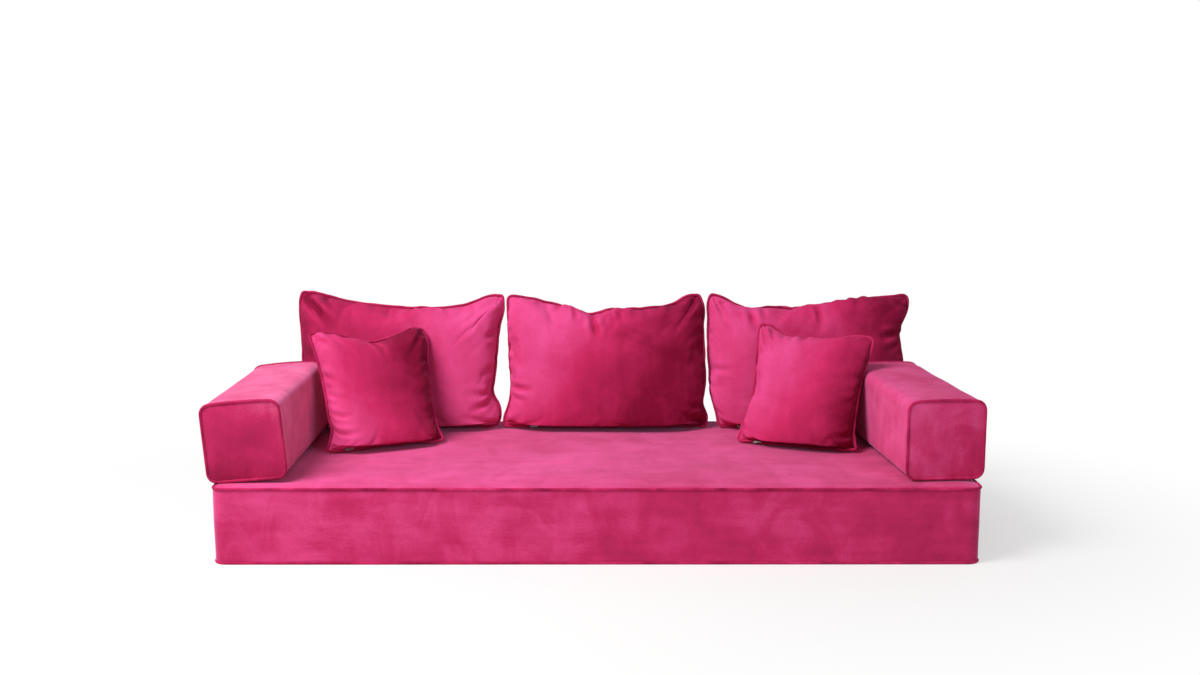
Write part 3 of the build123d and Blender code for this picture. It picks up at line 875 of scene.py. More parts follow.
# Arm bolsters, drawn with the front end at Y = 0 and the underside at Z = 0
ARM_EDGE = ARM_HALF - PIPING_INSET
ARM_END_BULGE = [(0, 0), (0.004, 0.0009), (0.010, 0.0018), (0.03, 0.003), (0.07, 0.0042),
                 (0.1, 0.0045)]
ARM_SLEEVE_BULGE = [(0, 0), (0.003, 0.0005), (0.008, 0.0009), (0.02, 0.001)]
ARM_CROWN = 0.0042


def arm_end_swell(points, u, v, inset, seed):
    """how far an end panel stands out, with its gathers, corner folds and waves"""
    gather_height, fold_depth, wave_height = 0.0006, 0.0016, 0.0006
    fold_at, fold_width, fold_half_length, weaker = 0.028, 0.006, 0.012, 0.4
    run = np.where(abs(v) > abs(u), u, v)
    gathers = puckers(run + 3 * np.sign(u + v), inset, seed, pitch=0.018, fade=0.014)
    off_diagonal = np.minimum(abs(abs(u) - abs(v)), 0.03)
    from_corner = np.hypot(ARM_EDGE - abs(u), ARM_EDGE - abs(v))
    corner_fold = (np.exp(-((from_corner - fold_at) / fold_width) ** 2)
                   * np.exp(-(off_diagonal / fold_half_length) ** 2)
                   * (np.where(u * v < 0, weaker, 1.0)))
    swell = profile(inset, ARM_END_BULGE)
    swell = (swell + gather_height * gathers * smooth_step(inset, low=0.001, high=0.006)
             - fold_depth * corner_fold)
    uneven = waves(points, length=0.11, seed=seed + 1)
    return swell + wave_height * uneven * smooth_step(inset, low=0.01, high=0.05)


def build_arm_cover(name, side, at, turn, seed):
    """the sleeve and both end panels as one skin; gives back the section of its seams"""
    gather_height, sag_depth = 0.0006, 0.0009
    zip_v = ARM_ZIP_RISE - ARM_HEIGHT / 2
    us, vs = stations(ARM_EDGE, ARM_STEP), stations(ARM_EDGE, ARM_STEP, slot_rows(zip_v))
    ws = stations(ARM_LENGTH / 2 - PIPING_INSET, ARM_LENGTH_STEP) + ARM_LENGTH / 2
    points, faces, part, inset, way, loop = boxed_form(us, vs, ws, ARM_CORNER)
    u, v, w = points.T
    front, rear, band = part == -1, part == 1, part == 0
    swell = arm_end_swell(points, u, v, inset, seed)
    w = np.where(front, w - swell, w)
    w = np.where(rear, w + swell, w)

    depth = np.minimum(w, ARM_LENGTH - w)
    on_top, underneath = way[:, 1] > 0.5, way[:, 1] < -0.5
    section = np.where(on_top | underneath, abs(u), abs(v))
    crown = ARM_CROWN * (1 - np.clip(section / ARM_EDGE, 0, 1) ** 2) * on_top
    push = profile(depth, ARM_SLEEVE_BULGE) + crown
    run = np.where(abs(v) > abs(u), u, v)
    gathers = puckers(run + 5 * np.sign(way[:, 0] + way[:, 1]), depth, seed + 3, pitch=0.02,
                      fade=0.018)
    sag = (waves(points * [1, 0.7, 1], length=0.2, seed=seed + 4)
           * smooth_step(depth, low=0.01, high=0.06))
    loose = np.where(underneath, 0.0, 1.0)
    push = push + ((gather_height * gathers + sag_depth * sag) * loose
                   * smooth_step(depth, low=0.001, high=0.006))
    outer = band & (side * u > ARM_EDGE - 0.0008)
    push = with_zip_slot(push, outer, abs(v - zip_v),
                         depth > ARM_ZIP_MARGIN - SLOT_BEYOND_STOPS, ARM_ZIP_FLAT)
    u = np.where(band, u + way[:, 0] * push, u)
    v = np.where(band, v + way[:, 1] * push, v)
    local = np.column_stack([u, w, v + ARM_HEIGHT / 2])
    cover = add_mesh(name + "_cover", placed(local, at, turn), [f[::-1] for f in faces])
    finish_piece(cover, name, [name + "_sleeve", name + "_front_panel", name + "_rear_panel"],
                 arm_velvets[name])
    return points[loop, :2]


def build_arm(name, side, at, turn, seed):
    """a bolster: cover, piping round both ends, foam block, and a zip in its outer side, which
    side gives as -1 for the left bolster and 1 for the right one"""
    seam = build_arm_cover(name, side, at, turn, seed)
    along = turn @ np.array([0, 1.0, 0])
    rings = []
    for w_at in (PIPING_INSET, ARM_LENGTH - PIPING_INSET):
        path = np.column_stack([seam[:, 0], np.full(len(seam), w_at), seam[:, 1] + ARM_HEIGHT / 2])
        crown = ARM_CROWN * (1 - np.clip(abs(path[:, 0]) / ARM_EDGE, 0, 1) ** 2)
        path[:, 2] += np.where(path[:, 2] > ARM_HEIGHT - 0.012, crown, 0)
        rings.append((placed(path, at, turn), along))
    piping_piece(name + "_trim", rings, name, name + "_piping")

    sides = stations(ARM_HALF - FOAM_INSET, ARM_FOAM_STEP)
    ws = stations(ARM_LENGTH / 2 - FOAM_INSET, ARM_FOAM_ROWS) + ARM_LENGTH / 2
    points, faces, _, _, _, _ = boxed_form(sides, sides, ws, ARM_FOAM_CORNER)
    local = np.column_stack([points[:, 0], points[:, 2], points[:, 1] + ARM_HEIGHT / 2])
    foam = add_mesh(name + "_foam_core", placed(local, at, turn), [f[::-1] for f in faces])
    finish_piece(foam, name, [name + "_foam_block"], foam_core)

    start = turn @ np.array([side * (ARM_HALF - ZIP_SUNK), ARM_ZIP_MARGIN, ARM_ZIP_RISE]) + at
    zip_pieces(name, start, zip_turn(along, turn @ np.array([side, 0, 0.0])),
               ARM_LENGTH - 2 * ARM_ZIP_MARGIN, True)


# Knife-edge cushions: two flat panels sewn round their edge, filled by cloth simulation, then
# fitted to the outline that each one has. A cushion is drawn lying down, with its lower seam at
# Y = 0 and its front facing up.

# How a cover is cut, filled and drawn in: its corners' radius, how much wider than the filled
# cushion it is cut, steps of the simulation, how much of the seam's ripples is kept after so many
# rounds of easing, and how full the belly is
CUT_CORNER, CUT_SHARE = 0.016, 1.035
FILL_STEPS = 32
RIPPLE_ROUNDS, RIPPLE_SHARE = 26, 0.6
OUTLINE_ROUNDS = 3
FULLNESS = 1.65

# What both kinds of cushion are like. Roll is how far the panels stand out over the seam, drop how
# far the filling sinks, gather how deep the gathers are, and zip_short how much shorter than the
# cushion its zip is.
BACK_KIND = {"half": BACK_HALF, "height": BACK_HEIGHT, "belly": BACK_BELLY, "lean": BACK_LEAN,
             "step": 0.0065, "roll": 0.014, "drop": 0.046, "gather": 0.011, "zip_short": 0.17}
THROW_KIND = {"half": THROW_HALF, "height": THROW_HEIGHT, "belly": THROW_BELLY,
              "lean": THROW_LEAN, "step": 0.006, "roll": 0.009, "drop": 0.052, "gather": 0.0105,
              "zip_short": 0.11}

# Where a cover gives way to the zip and the swing of its pull: up to the shelf's height it stays
# above the zip, and higher up the belly may hang over it again
ZIP_RAISED, ZIP_BESIDE = 0.0022, 0.00015
SHELF, SHELF_START, SHELF_HEIGHT, SHELF_END, OVERHANG = 0.0024, 0.003, 0.031, 0.045, 0.03
COVER_GAP = 0.0015

# The pad inside: how much smaller it is than its cover, and how thin at its lower and upper part
PAD_MARGIN, PAD_MIDDLE = 0.024, 0.49
PAD_THIN, PAD_THICKER = 0.55, 0.25

# The piping round a cushion: how far it reaches over the seam, and the spacing of its line
TRIM_OVERLAP, TRIM_STEP = 0.0012, 0.005

# Points along each side of a drawn outline
LINE_POINTS = 200


def smooth_line(corners):
    """a smooth line through given points, and what share of it lies before each point"""
    pts = np.array(corners, float)
    run = run_of(pts)
    slope = np.gradient(pts, run, axis=0)
    at = np.linspace(0, run[-1], LINE_POINTS)
    k = np.clip(np.searchsorted(run, at, side="right") - 1, 0, len(run) - 2)
    h = (run[k + 1] - run[k])[:, None]
    t = ((at - run[k]) / (run[k + 1] - run[k]))[:, None]
    fine = ((2 * t ** 3 - 3 * t ** 2 + 1) * pts[k] + (t ** 3 - 2 * t ** 2 + t) * h * slope[k]
            + (-2 * t ** 3 + 3 * t ** 2) * pts[k + 1] + (t ** 3 - t ** 2) * h * slope[k + 1])
    run = run_of(fine)
    return fine, run / run[-1]


class Sewn:
    """a pair of flat panels that share the vertices of their seam"""

    def __init__(self, half, height, step):
        self.half, self.height = half, height
        us = np.linspace(-half, half, round(2 * half / step) + 1)
        vs = np.linspace(-height / 2, height / 2, round(height / step) + 1)
        gu, gv, inset = rounded_grid(us, vs, CUT_CORNER)
        nu, nv = gu.shape
        self.front = np.arange(nu * nv).reshape(nu, nv)
        self.rear = self.front.copy()
        self.rear[1:-1, 1:-1] = nu * nv + np.arange((nu - 2) * (nv - 2)).reshape(nu - 2, nv - 2)
        total = nu * nv + (nu - 2) * (nv - 2)
        self.share_u, self.share_v = np.zeros(total), np.zeros(total)
        self.sign, self.edge_inset = np.zeros(total), np.zeros(total)
        self.flat = np.zeros((total, 2))
        su, sv = np.meshgrid((us / half + 1) / 2, (vs / (height / 2) + 1) / 2, indexing="ij")
        for grid, sign in ((self.rear, -1.0), (self.front, 1.0)):
            self.share_u[grid], self.share_v[grid] = su, sv
            self.sign[grid], self.edge_inset[grid] = sign, inset
            self.flat[grid] = np.stack([gu, gv], -1)
        self.loop = edge_loop(self.front)
        self.sign[self.loop] = 0
        self.faces = (grid_faces(self.front).tolist()
                      + facing_back(grid_faces(self.rear)).tolist())

    def blank(self, puff, seed=None):
        """the points of the flat pair, pushed apart a little or filled by rule"""
        dome = ((1 - (2 * self.share_u - 1) ** 2) * (1 - (2 * self.share_v - 1) ** 2)) ** 0.5
        if seed is not None:
            spots = np.column_stack([self.flat, self.sign * 0.1])
            dome = dome * (1 + 0.25 * waves(spots, 0.14, seed))
        return np.column_stack([self.flat, self.sign * dome * puff])

    def fit(self, points, outline):
        """moves the seam onto the drawn outline, on which it keeps its own short waves, and
        carries the panels with it"""
        nu, nv = self.front.shape
        su, sv = self.share_u[self.front[:, 0]], self.share_v[self.front[0, :]]
        target = np.zeros((nu, nv, 2))
        for label, share, spot in (("bottom", su, np.s_[:, 0]), ("top", su, np.s_[:, -1]),
                                   ("left", sv, np.s_[0, :]), ("right", sv, np.s_[-1, :])):
            line, run = smooth_line(outline[label])
            target[spot] = np.column_stack([np.interp(share, run, line[:, k]) for k in (0, 1)])
        drawn = eased_loop(edge_loop(target), OUTLINE_ROUNDS)
        start = self.flat[self.loop]
        drawn_in = points[self.loop, :2] - start
        general = eased_loop(drawn_in, RIPPLE_ROUNDS)
        move = np.zeros((nu * nv, 2))
        move[self.loop] = drawn - start - general - (1 - RIPPLE_SHARE) * (drawn_in - general)
        move = move.reshape(nu, nv, 2)
        u, v = su[:, None, None], sv[None, :, None]
        inner = ((1 - v) * move[:, :1] + v * move[:, -1:] + (1 - u) * move[:1] + u * move[-1:]
                 - (1 - u) * (1 - v) * move[0, 0] - u * (1 - v) * move[-1, 0]
                 - (1 - u) * v * move[0, -1] - u * v * move[-1, -1])
        fitted = points.copy()
        for grid in (self.rear, self.front):
            fitted[grid, :2] = points[grid, :2] + inner
        return fitted


# The velvet of the covers as cloth, and how far its panels stand apart before they are filled
CLOTH = {"quality": 6, "mass": 0.3, "air_damping": 2, "tension_stiffness": 60,
         "compression_stiffness": 60, "shear_stiffness": 30, "bending_stiffness": 0.5,
         "tension_damping": 10, "compression_damping": 10, "shear_damping": 10,
         "bending_damping": 1, "use_pressure": True}
START_PUFF, QUICK_PUFF = 0.03, 0.07


def fill_covers(jobs):
    """runs the cloth simulation for all the cushions at once and returns their points"""
    objects = []
    for number, (name, sewn, pressure) in enumerate(jobs):
        obj = add_mesh(name + "_blank", sewn.blank(START_PUFF, 70 + number), sewn.faces)
        cloth = obj.modifiers.new("fill", "CLOTH")
        for setting, value in CLOTH.items():
            setattr(cloth.settings, setting, value)
        cloth.settings.uniform_pressure_force = pressure
        cloth.settings.effector_weights.gravity = 0
        cloth.collision_settings.use_collision = False
        cloth.point_cache.frame_start, cloth.point_cache.frame_end = 1, FILL_STEPS
        objects.append(obj)
    for step in range(1, FILL_STEPS + 1):
        scene.frame_set(step)
    graph = bpy.context.evaluated_depsgraph_get()
    filled = [points_of(obj.evaluated_get(graph).data) for obj in objects]
    for obj in objects:
        obj.modifiers.clear()
        bpy.data.objects.remove(obj)
    scene.frame_set(1)
    return filled


def crease(points, start, end, width, depth):
    """presses a soft fold of that width and depth into the front along a line, deepest about a
    third of the way along it, with a lip on both sides"""
    above_seam, deepest_at, weaker, lip, lip_at = 0.004, 0.7, 0.7, 0.55, 1.9
    a, b = np.array(start), np.array(end)
    way = b - a
    length = np.linalg.norm(way)
    t = ((points[:, :2] - a) @ way) / length ** 2
    near = points[:, :2] - (a + np.clip(t, 0, 1)[:, None] * way)
    off = np.linalg.norm(near, axis=1)
    fade = np.clip(1 - np.abs(2 * np.clip(t, 0, 1) - deepest_at) * weaker, 0, 1)
    shape = (-np.exp(-(off / width) ** 2)
             + lip * np.exp(-((off - lip_at * width) / width) ** 2))
    moved = points.copy()
    moved[:, 2] += np.where(points[:, 2] > above_seam, shape * fade * depth, 0)
    return moved


def rolled_over(points, sewn, reach):
    """pushes both panels out over the seam, as a well filled cushion does between its ears"""
    full, fading, gone = 0.018, 0.03, 0.11
    u, v = 2 * sewn.share_u - 1, 2 * sewn.share_v - 1
    moved = points.copy()
    for axis, share, other, half in ((0, u, v, sewn.half), (1, v, u, sewn.height / 2)):
        depth = (1 - abs(share)) * half
        swell = smooth_step(depth, 0, full) * (1 - smooth_step(depth, fading, gone))
        moved[:, axis] += np.sign(share) * reach * swell * (1 - other ** 4)
    return moved


def outward(points, sewn):
    """the way out of the cushion at each point of its two panels"""
    ways = np.zeros_like(points)
    for grid, sign in ((sewn.rear, -1.0), (sewn.front, 1.0)):
        panel = points[grid]
        way = sign * np.cross(np.gradient(panel, axis=0), np.gradient(panel, axis=1))
        ways[grid] = way / np.linalg.norm(way, axis=2)[..., None]
    return ways


def gathered(points, sewn, seed, deepest):
    """short folds that run in from the seam, most of them small and some long and deep, and how
    deep each point lies in them, as a share of the deepest"""
    from_corner, nearest, furthest, slant = 0.03, 0.015, 0.036, 0.6
    width_least, width_more, reach_least, reach_more = 0.0055, 0.003, 0.012, 0.024
    lip, lip_at = 0.3, 2.2
    dice = np.random.default_rng(seed)
    x, y = sewn.flat.T
    half_x, half_y = sewn.half, sewn.height / 2
    depth = np.zeros(len(points))
    for along, inset, end in ((x, half_y - y, half_x), (x, half_y + y, half_x),
                              (y, half_x - x, half_y), (y, half_x + x, half_y)):
        place = -end + from_corner
        while place < end - from_corner:
            share = dice.uniform(0.15, 1.0) ** 1.5
            width = width_least + width_more * share
            off = abs(along - place - dice.uniform(-slant, slant) * inset)
            fold = lip * np.exp(-((off - lip_at * width) / width) ** 2) - np.exp(-off / width)
            depth += deepest * share * fold * np.exp(-inset / (reach_least + reach_more * share))
            place += dice.uniform(nearest, furthest)
    edge = np.minimum(half_x - abs(x), half_y - abs(y))
    depth *= smooth_step(edge, 0.001, 0.013)
    return points + outward(points, sewn) * depth[:, None], depth / deepest


def sunk(points, sewn, drop):
    """lets the filling sink, so that the belly hangs over the lower seam"""
    seam, lowest, highest = 0.002, 0.045, 0.36
    u = 2 * sewn.share_u - 1
    y = points[:, 1]
    fall = (drop * smooth_step(y, seam, lowest) * (1 - smooth_step(y, lowest, highest))
            * (1 - u ** 6))
    moved = points.copy()
    moved[:, 1] -= np.where(sewn.sign != 0, fall, 0)
    return moved


def fitted_belly(points, sewn, belly):
    """gives the filled panels the belly's depth, full almost out to the seam"""
    peak_share, cloth, seam_rise, flat_seam = 99.5, 0.001, 0.5, 0.05
    peak = np.percentile(points[sewn.front.ravel(), 2], peak_share)
    raised = np.clip(abs(points[:, 2]) / peak, 0, 1)
    points[:, 2] = np.sign(points[:, 2]) * (belly - cloth) * (1 - (1 - raised) ** FULLNESS)
    seam = sewn.loop
    points[seam, 2] *= seam_rise * smooth_step(points[seam, 1], 0.0, flat_seam)
    return points


def clear_of_zip(points, sewn):
    """keeps the front above its zip and the swing of the pull, under the belly"""
    lift = points[:, 2]
    lowest = np.where(lift < SHELF_HEIGHT, SHELF * smooth_step(lift, 0, SHELF_START),
                      SHELF - OVERHANG * smooth_step(lift, SHELF_HEIGHT, SHELF_END))
    points[:, 1] = np.where(sewn.sign > 0, np.maximum(points[:, 1], lowest), points[:, 1])
    return points


def build_cushion_trim(name, seam, at, turn):
    """piping just outside the seam, never lower than the cushion stands"""
    ahead = np.roll(seam, -1, 0) - np.roll(seam, 1, 0)
    out = np.column_stack([ahead[:, 1], -ahead[:, 0], np.zeros(len(seam))])
    out /= np.linalg.norm(out, axis=1)[:, None]
    path = eased_loop(even_loop(seam + out * (PIPING - TRIM_OVERLAP), TRIM_STEP), 2)
    path[:, 1] = np.maximum(path[:, 1], -PIPING)
    piping_piece(name + "_trim", [(placed(path, at, turn), turn @ UPRIGHT)], name,
                 name + "_piping")


def build_cushion_pad(name, sewn, inner, at, turn):
    """the fibre pad inside, a smaller and thinner copy of its cover before it was gathered"""
    centre = np.array([0, sewn.height * PAD_MIDDLE])
    half = np.array([sewn.half, sewn.height / 2])
    inner[:, :2] = centre + (inner[:, :2] - centre) * (1 - PAD_MARGIN / half)
    inner[:, 2] *= PAD_THIN + PAD_THICKER * smooth_step(inner[:, 1], low=0.03, high=0.10)
    pad = add_mesh(name + "_pad", placed(inner, at, turn), sewn.faces)
    finish_piece(pad, name, [name + "_inner_pad"], ticking)


def stand_cushion(name, kind, sewn, points, outline, at, turn, seed):
    """shapes a filled pair of panels, and stands the cushion in its place with all it has"""
    points = fitted_belly(sewn.fit(points, outline), sewn, kind["belly"])
    points = rolled_over(points, sewn, kind["roll"])
    inner = sunk(points, sewn, kind["drop"])
    # painted shade in the gathers' valleys, in the creases and beside the seam, and painted light
    # on their lips
    points, marks = gathered(points, sewn, seed, kind["gather"])
    marks = marks - SEAM_SHADE * np.exp(-sewn.edge_inset / SEAM_SHADE_REACH)
    for start, end, width, depth in FOLDS[name]:
        pressed = crease(points, start, end, width, depth)
        marks = marks + (pressed - points)[:, 2] / FOLD_DEPTH
        points = pressed
    points = clear_of_zip(sunk(points, sewn, kind["drop"]), sewn)
    world = placed(points, at, turn)
    world[:, 2] = np.maximum(world[:, 2], SEAT_TOP + COVER_GAP)
    cover = add_mesh(name + "_cover", world, sewn.faces)
    mark_light_and_shade(cover, np.clip(marks, -1, 0.5))
    refined(cover, sewn.loop)
    finish_piece(cover, name, [name + "_front_panel", name + "_rear_panel"],
                 cushion_velvets[name])
    build_cushion_trim(name, points[sewn.loop], at, turn)
    build_cushion_pad(name, sewn, inner, at, turn)
    zip_length = 2 * kind["half"] - kind["zip_short"]
    start = turn @ np.array([-zip_length / 2, -PIPING + ZIP_RAISED, PIPING + ZIP_BESIDE]) + at
    zip_pieces(name, start, turn, zip_length, False)


def standing(x, y, yaw, lean):
    """the place and turn of a cushion whose piping rests on the seat at X and Y"""
    z = SEAT_TOP + RESTING_GAP + PIPING * (1 + math.cos(math.radians(lean)))
    return np.array([x, y, z]), turned(yaw, lean)


# The outline of each cushion's seam, set to the photo: metres right of its middle and up
# from its lower seam
LEFT_BACK = {
    "bottom": [(-0.303, 0.001), (-0.2, 0.002), (0, 0.001), (0.2, 0.002), (0.306, 0.001)],
    "right": [(0.306, 0.001), (0.314, 0.035), (0.309, 0.062), (0.288, 0.100), (0.291, 0.135),
              (0.298, 0.200), (0.302, 0.265), (0.311, 0.325), (0.322, 0.372), (0.318, 0.406)],
    "top": [(-0.304, 0.415), (-0.246, 0.408), (-0.184, 0.388), (-0.075, 0.371), (0.064, 0.362),
            (0.141, 0.362), (0.218, 0.376), (0.280, 0.400), (0.318, 0.406)],
    "left": [(-0.303, 0.001), (-0.298, 0.06), (-0.288, 0.11), (-0.290, 0.2), (-0.297, 0.3),
             (-0.305, 0.38), (-0.304, 0.415)],
}
MIDDLE_BACK = {
    "bottom": [(-0.311, 0.001), (-0.2, 0.002), (0, 0.001), (0.2, 0.002), (0.318, 0.001)],
    "right": [(0.318, 0.001), (0.313, 0.03), (0.297, 0.070), (0.305, 0.110), (0.306, 0.202),
              (0.302, 0.295), (0.302, 0.385), (0.292, 0.408)],
    "top": [(-0.294, 0.400), (-0.228, 0.392), (-0.151, 0.373), (-0.083, 0.353), (-0.037, 0.341),
            (-0.012, 0.351), (0.065, 0.357), (0.142, 0.362), (0.215, 0.374), (0.252, 0.398),
            (0.292, 0.408)],
    "left": [(-0.311, 0.001), (-0.303, 0.03), (-0.286, 0.075), (-0.281, 0.125), (-0.287, 0.202),
             (-0.291, 0.295), (-0.294, 0.37), (-0.294, 0.400)],
}
RIGHT_BACK = {
    "bottom": [(-0.279, 0.001), (-0.2, 0.002), (0, 0.001), (0.2, 0.002), (0.303, 0.001)],
    "right": [(0.303, 0.001), (0.298, 0.06), (0.285, 0.12), (0.283, 0.190), (0.277, 0.248),
              (0.272, 0.285), (0.284, 0.320), (0.302, 0.362), (0.304, 0.402)],
    "top": [(-0.300, 0.410), (-0.267, 0.396), (-0.227, 0.373), (-0.185, 0.358), (-0.120, 0.364),
            (-0.026, 0.360), (0.067, 0.372), (0.129, 0.384), (0.222, 0.394), (0.304, 0.402)],
    "left": [(-0.279, 0.001), (-0.284, 0.035), (-0.296, 0.080), (-0.305, 0.171), (-0.309, 0.248),
             (-0.308, 0.33), (-0.308, 0.385), (-0.300, 0.410)],
}
LEFT_THROW = {
    "bottom": [(-0.176, 0.001), (-0.110, 0.001), (-0.050, 0.003), (-0.005, 0.007), (0.039, 0.003),
               (0.084, 0.008), (0.127, 0.001), (0.172, 0.001)],
    "right": [(0.172, 0.001), (0.161, 0.040), (0.154, 0.081), (0.154, 0.146), (0.160, 0.227),
              (0.176, 0.308), (0.180, 0.365)],
    "top": [(-0.172, 0.368), (-0.135, 0.370), (-0.064, 0.350), (0.007, 0.328), (0.086, 0.345),
            (0.140, 0.364), (0.180, 0.365)],
    "left": [(-0.176, 0.001), (-0.165, 0.021), (-0.145, 0.058), (-0.149, 0.096), (-0.148, 0.158),
             (-0.150, 0.237), (-0.160, 0.317), (-0.172, 0.368)],
}
RIGHT_THROW = {
    "bottom": [(-0.170, 0.001), (-0.120, 0.006), (-0.087, 0.001), (-0.014, 0.003), (0.059, 0.001),
               (0.117, 0.003), (0.178, 0.001)],
    "right": [(0.178, 0.001), (0.172, 0.018), (0.160, 0.045), (0.156, 0.080), (0.155, 0.142),
              (0.157, 0.204), (0.163, 0.252), (0.172, 0.301), (0.176, 0.352)],
    "top": [(-0.166, 0.382), (-0.140, 0.378), (-0.104, 0.355), (-0.071, 0.343), (-0.025, 0.338),
            (0.050, 0.340), (0.120, 0.354), (0.176, 0.352)],
    "left": [(-0.170, 0.001), (-0.163, 0.050), (-0.152, 0.099), (-0.148, 0.163), (-0.155, 0.261),
             (-0.163, 0.330), (-0.166, 0.382)],
}

# The deep folds in each front panel: where one starts and ends, its width and its depth
FOLDS = {
    "left_back": [((-0.288, 0.400), (-0.19, 0.30), 0.012, 0.016),
                  ((-0.235, 0.395), (-0.19, 0.345), 0.008, 0.008),
                  ((-0.029, 0.368), (-0.034, 0.32), 0.008, 0.007),
                  ((0.290, 0.112), (0.225, 0.128), 0.008, 0.009),
                  ((0.288, 0.092), (0.235, 0.078), 0.008, 0.008),
                  ((0.305, 0.395), (0.245, 0.345), 0.012, 0.008),
                  ((0.300, 0.015), (0.255, 0.055), 0.010, 0.010)],
    "middle_back": [((-0.037, 0.338), (-0.018, 0.265), 0.010, 0.013),
                    ((-0.090, 0.352), (-0.085, 0.315), 0.007, 0.008),
                    ((0.045, 0.352), (0.052, 0.310), 0.007, 0.007),
                    ((-0.283, 0.135), (-0.215, 0.140), 0.008, 0.009),
                    ((-0.283, 0.112), (-0.235, 0.105), 0.008, 0.007),
                    ((-0.300, 0.015), (-0.245, 0.060), 0.010, 0.011),
                    ((0.300, 0.075), (0.235, 0.100), 0.010, 0.010),
                    ((0.312, 0.010), (0.250, 0.060), 0.011, 0.012),
                    ((0.290, 0.398), (0.240, 0.340), 0.012, 0.013)],
    "right_back": [((-0.185, 0.352), (-0.170, 0.290), 0.009, 0.011),
                   ((-0.148, 0.358), (-0.140, 0.325), 0.007, 0.006),
                   ((0.015, 0.358), (0.035, 0.305), 0.008, 0.008),
                   ((0.272, 0.285), (0.195, 0.275), 0.010, 0.011),
                   ((0.275, 0.265), (0.225, 0.235), 0.008, 0.007),
                   ((-0.300, 0.185), (-0.240, 0.190), 0.008, 0.006),
                   ((-0.290, 0.400), (-0.245, 0.335), 0.011, 0.009)],
    "left_throw": [((0.007, 0.325), (0.035, 0.270), 0.007, 0.010),
                   ((-0.160, 0.355), (-0.115, 0.315), 0.008, 0.008),
                   ((0.168, 0.350), (0.125, 0.300), 0.009, 0.008),
                   ((-0.146, 0.066), (-0.080, 0.080), 0.007, 0.008),
                   ((-0.146, 0.120), (-0.095, 0.124), 0.006, 0.006),
                   ((-0.148, 0.175), (-0.100, 0.172), 0.006, 0.005),
                   ((0.160, 0.015), (0.115, 0.050), 0.008, 0.008)],
    "right_throw": [((-0.158, 0.370), (-0.120, 0.290), 0.007, 0.011),
                    ((-0.130, 0.365), (-0.098, 0.300), 0.006, 0.008),
                    ((-0.060, 0.340), (-0.055, 0.305), 0.006, 0.005),
                    ((0.157, 0.055), (0.105, 0.070), 0.007, 0.008),
                    ((0.166, 0.015), (0.125, 0.045), 0.008, 0.008)],
}


# Each cushion's name, kind, outline, air pressure, place and yaw on the seat, and its gathers' seed
CUSHIONS = [
    ("left_back", BACK_KIND, LEFT_BACK, 4.0, (-0.610667, 0.268), 0, 63),
    ("middle_back", BACK_KIND, MIDDLE_BACK, 5.0, (0.021, 0.268), 0, 77),
    ("right_back", BACK_KIND, RIGHT_BACK, 4.0, (0.652667, 0.268), 0, 70),
    ("left_throw", THROW_KIND, LEFT_THROW, 5.5, (-0.603578, 0.008986), 24, 70),
    ("right_throw", THROW_KIND, RIGHT_THROW, 4.5, (0.569254, 0.011872), -22, 77),
]


def build_cushions():
    """fills the five covers together, and then stands each cushion in its place"""
    pairs = [Sewn(kind["half"] * CUT_SHARE, kind["height"] * CUT_SHARE,
                  kind["step"])
             for _, kind, _, _, _, _, _ in CUSHIONS]
    filled = fill_covers([(row[0], sewn, row[3]) for row, sewn in zip(CUSHIONS, pairs)])
    for row, sewn, points in zip(CUSHIONS, pairs, filled):
        name, kind, outline, _, (x, y), yaw, seed = row
        at, turn = standing(x, y, yaw, kind["lean"])
        stand_cushion(name, kind, sewn, points, outline, at, turn, seed)


# A bolster's place is the middle of its front end's underside, and its yaw and roll are degrees
build_seat()
build_arm("left_arm", side=-1, at=np.array([-0.909, -0.356, 0.214479]),
          turn=rolled(yaw=0.4, roll=-4.5), seed=51)
build_arm("right_arm", side=1, at=np.array([0.909, -0.343, 0.2143]),
          turn=rolled(yaw=4.6, roll=0), seed=61)
build_cushions()


# Floor, light and camera
WHITE = (1, 1, 1, 1)
FLOOR_HALF = 9
FLOOR_COLOUR = (0.80, 0.79, 0.78, 1)
SKY_STRENGTH = 0.28

# Each lamp's name, place, what it is turned to, its size and its power
LAMPS = [
    ("key light", (-2.5, -1.8, 3.9), (0, 0, 0.3), 2.4, 265),
    ("fill light", (2.6, -3.6, 1.6), (0.1, 0, 0.3), 2.4, 24),
]

# The camera that was solved from the photo: its place, how far it looks down and aside, in
# degrees, and its lens and sensor in millimetres
CAMERA_PLACE, CAMERA_DOWN, CAMERA_YAW = (0.003, -3.769, 1.127), 8.93, -0.08
CAMERA_LENS, CAMERA_SENSOR = 40.5, 36


def background_rays(tree):
    """1 for the rays that show what lies behind things: seen directly, in a gloss or in glass"""
    rays = tree.nodes.new("ShaderNodeLightPath")
    seen = sum_of(tree, "MAXIMUM", rays.outputs["Is Camera Ray"], rays.outputs["Is Glossy Ray"])
    return sum_of(tree, "MAXIMUM", seen, rays.outputs["Is Transmission Ray"])


def shown_white(tree, share, lit, white, output):
    """shows the plain white shader in place of the lit one, by that share"""
    mix = tree.nodes.new("ShaderNodeMixShader")
    for socket, value in zip(mix.inputs, (share, lit.outputs[0], white.outputs[0])):
        feed(tree, socket, value)
    tree.links.new(mix.outputs[0], tree.nodes[output].inputs["Surface"])


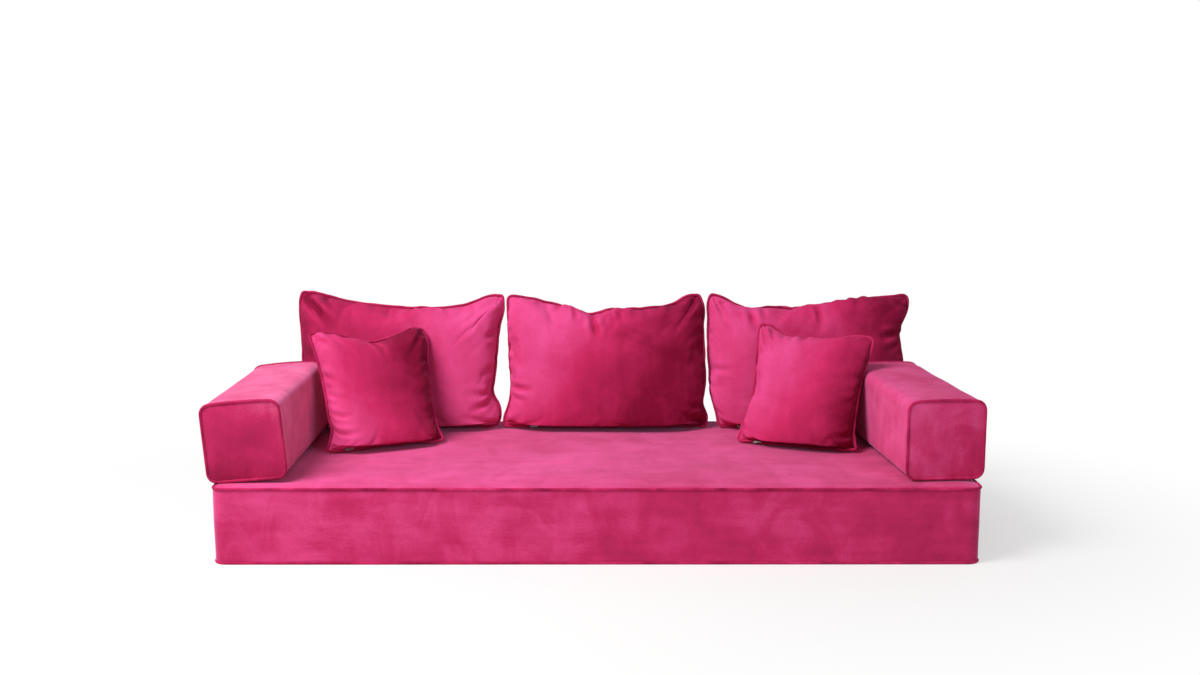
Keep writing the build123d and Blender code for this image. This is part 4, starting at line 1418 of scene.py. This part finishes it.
def pale_floor():
    """a pale floor that fades to plain white away from the sofa, with the shadow near it kept"""
    material, tree, shader = new_material("pale floor")
    shader.inputs["Base Color"].default_value = FLOOR_COLOUR
    shader.inputs["Roughness"].default_value = 0.9
    shader.inputs["Specular IOR Level"].default_value = 0.1
    flat = add_node(tree, "ShaderNodeMapping", Scale=(0.75, 1.0, 0), Vector=object_place(tree))
    away = add_node(tree, "ShaderNodeVectorMath", {"operation": "LENGTH"},
                    Vector=flat.outputs["Vector"])
    fade = ranged(tree, away.outputs["Value"], low=0.55, high=1.6, new_low=0.5, new_high=1.0)
    white = add_node(tree, "ShaderNodeEmission", Color=WHITE, Strength=1.0)
    share = sum_of(tree, "MULTIPLY", fade, background_rays(tree))
    shown_white(tree, share, shader, white, "Material Output")
    return material


def white_world():
    """soft light from all round, in front of a white that only the background shows"""
    world = bpy.data.worlds.new("studio")
    world.use_nodes = True
    tree = world.node_tree
    lit = tree.nodes["Background"]
    lit.inputs["Color"].default_value = WHITE
    lit.inputs["Strength"].default_value = SKY_STRENGTH
    white = add_node(tree, "ShaderNodeBackground", Color=WHITE, Strength=1.0)
    shown_white(tree, background_rays(tree), lit, white, "World Output")
    return world


def hang_lamp(name, at, aim, size, power):
    """a round soft lamp at a place, turned to what it lights"""
    lamp = bpy.data.lights.new(name, "AREA")
    lamp.shape = "DISK"
    lamp.size = size
    lamp.energy = power
    obj = bpy.data.objects.new(name, lamp)
    scene.collection.objects.link(obj)
    obj.location = at
    way = np.array(aim) - np.array(at)
    flat = math.hypot(way[0], way[1])
    obj.rotation_euler = (math.atan2(flat, -way[2]), 0, math.atan2(-way[0], way[1]))


def build_stage():
    """the floor, the light and the camera"""
    half = FLOOR_HALF
    floor = add_mesh("floor", [(-half, -half, 0), (half, -half, 0), (half, half, 0),
                               (-half, half, 0)], [(0, 1, 2, 3)])
    floor.data.materials.append(pale_floor())
    scene.world = white_world()
    for lamp in LAMPS:
        hang_lamp(*lamp)

    camera = bpy.data.cameras.new("camera")
    camera.lens = CAMERA_LENS
    camera.sensor_width = CAMERA_SENSOR
    camera.dof.use_dof = False
    obj = bpy.data.objects.new("camera", camera)
    scene.collection.objects.link(obj)
    obj.location = CAMERA_PLACE
    obj.rotation_euler = (math.radians(90 - CAMERA_DOWN), 0, math.radians(CAMERA_YAW))
    scene.camera = obj


build_stage()
scene.view_settings.view_transform = "Standard"


def corners(box):
    """a box's two corners as plain numbers"""
    return [[float(c) for c in corner] for corner in box]
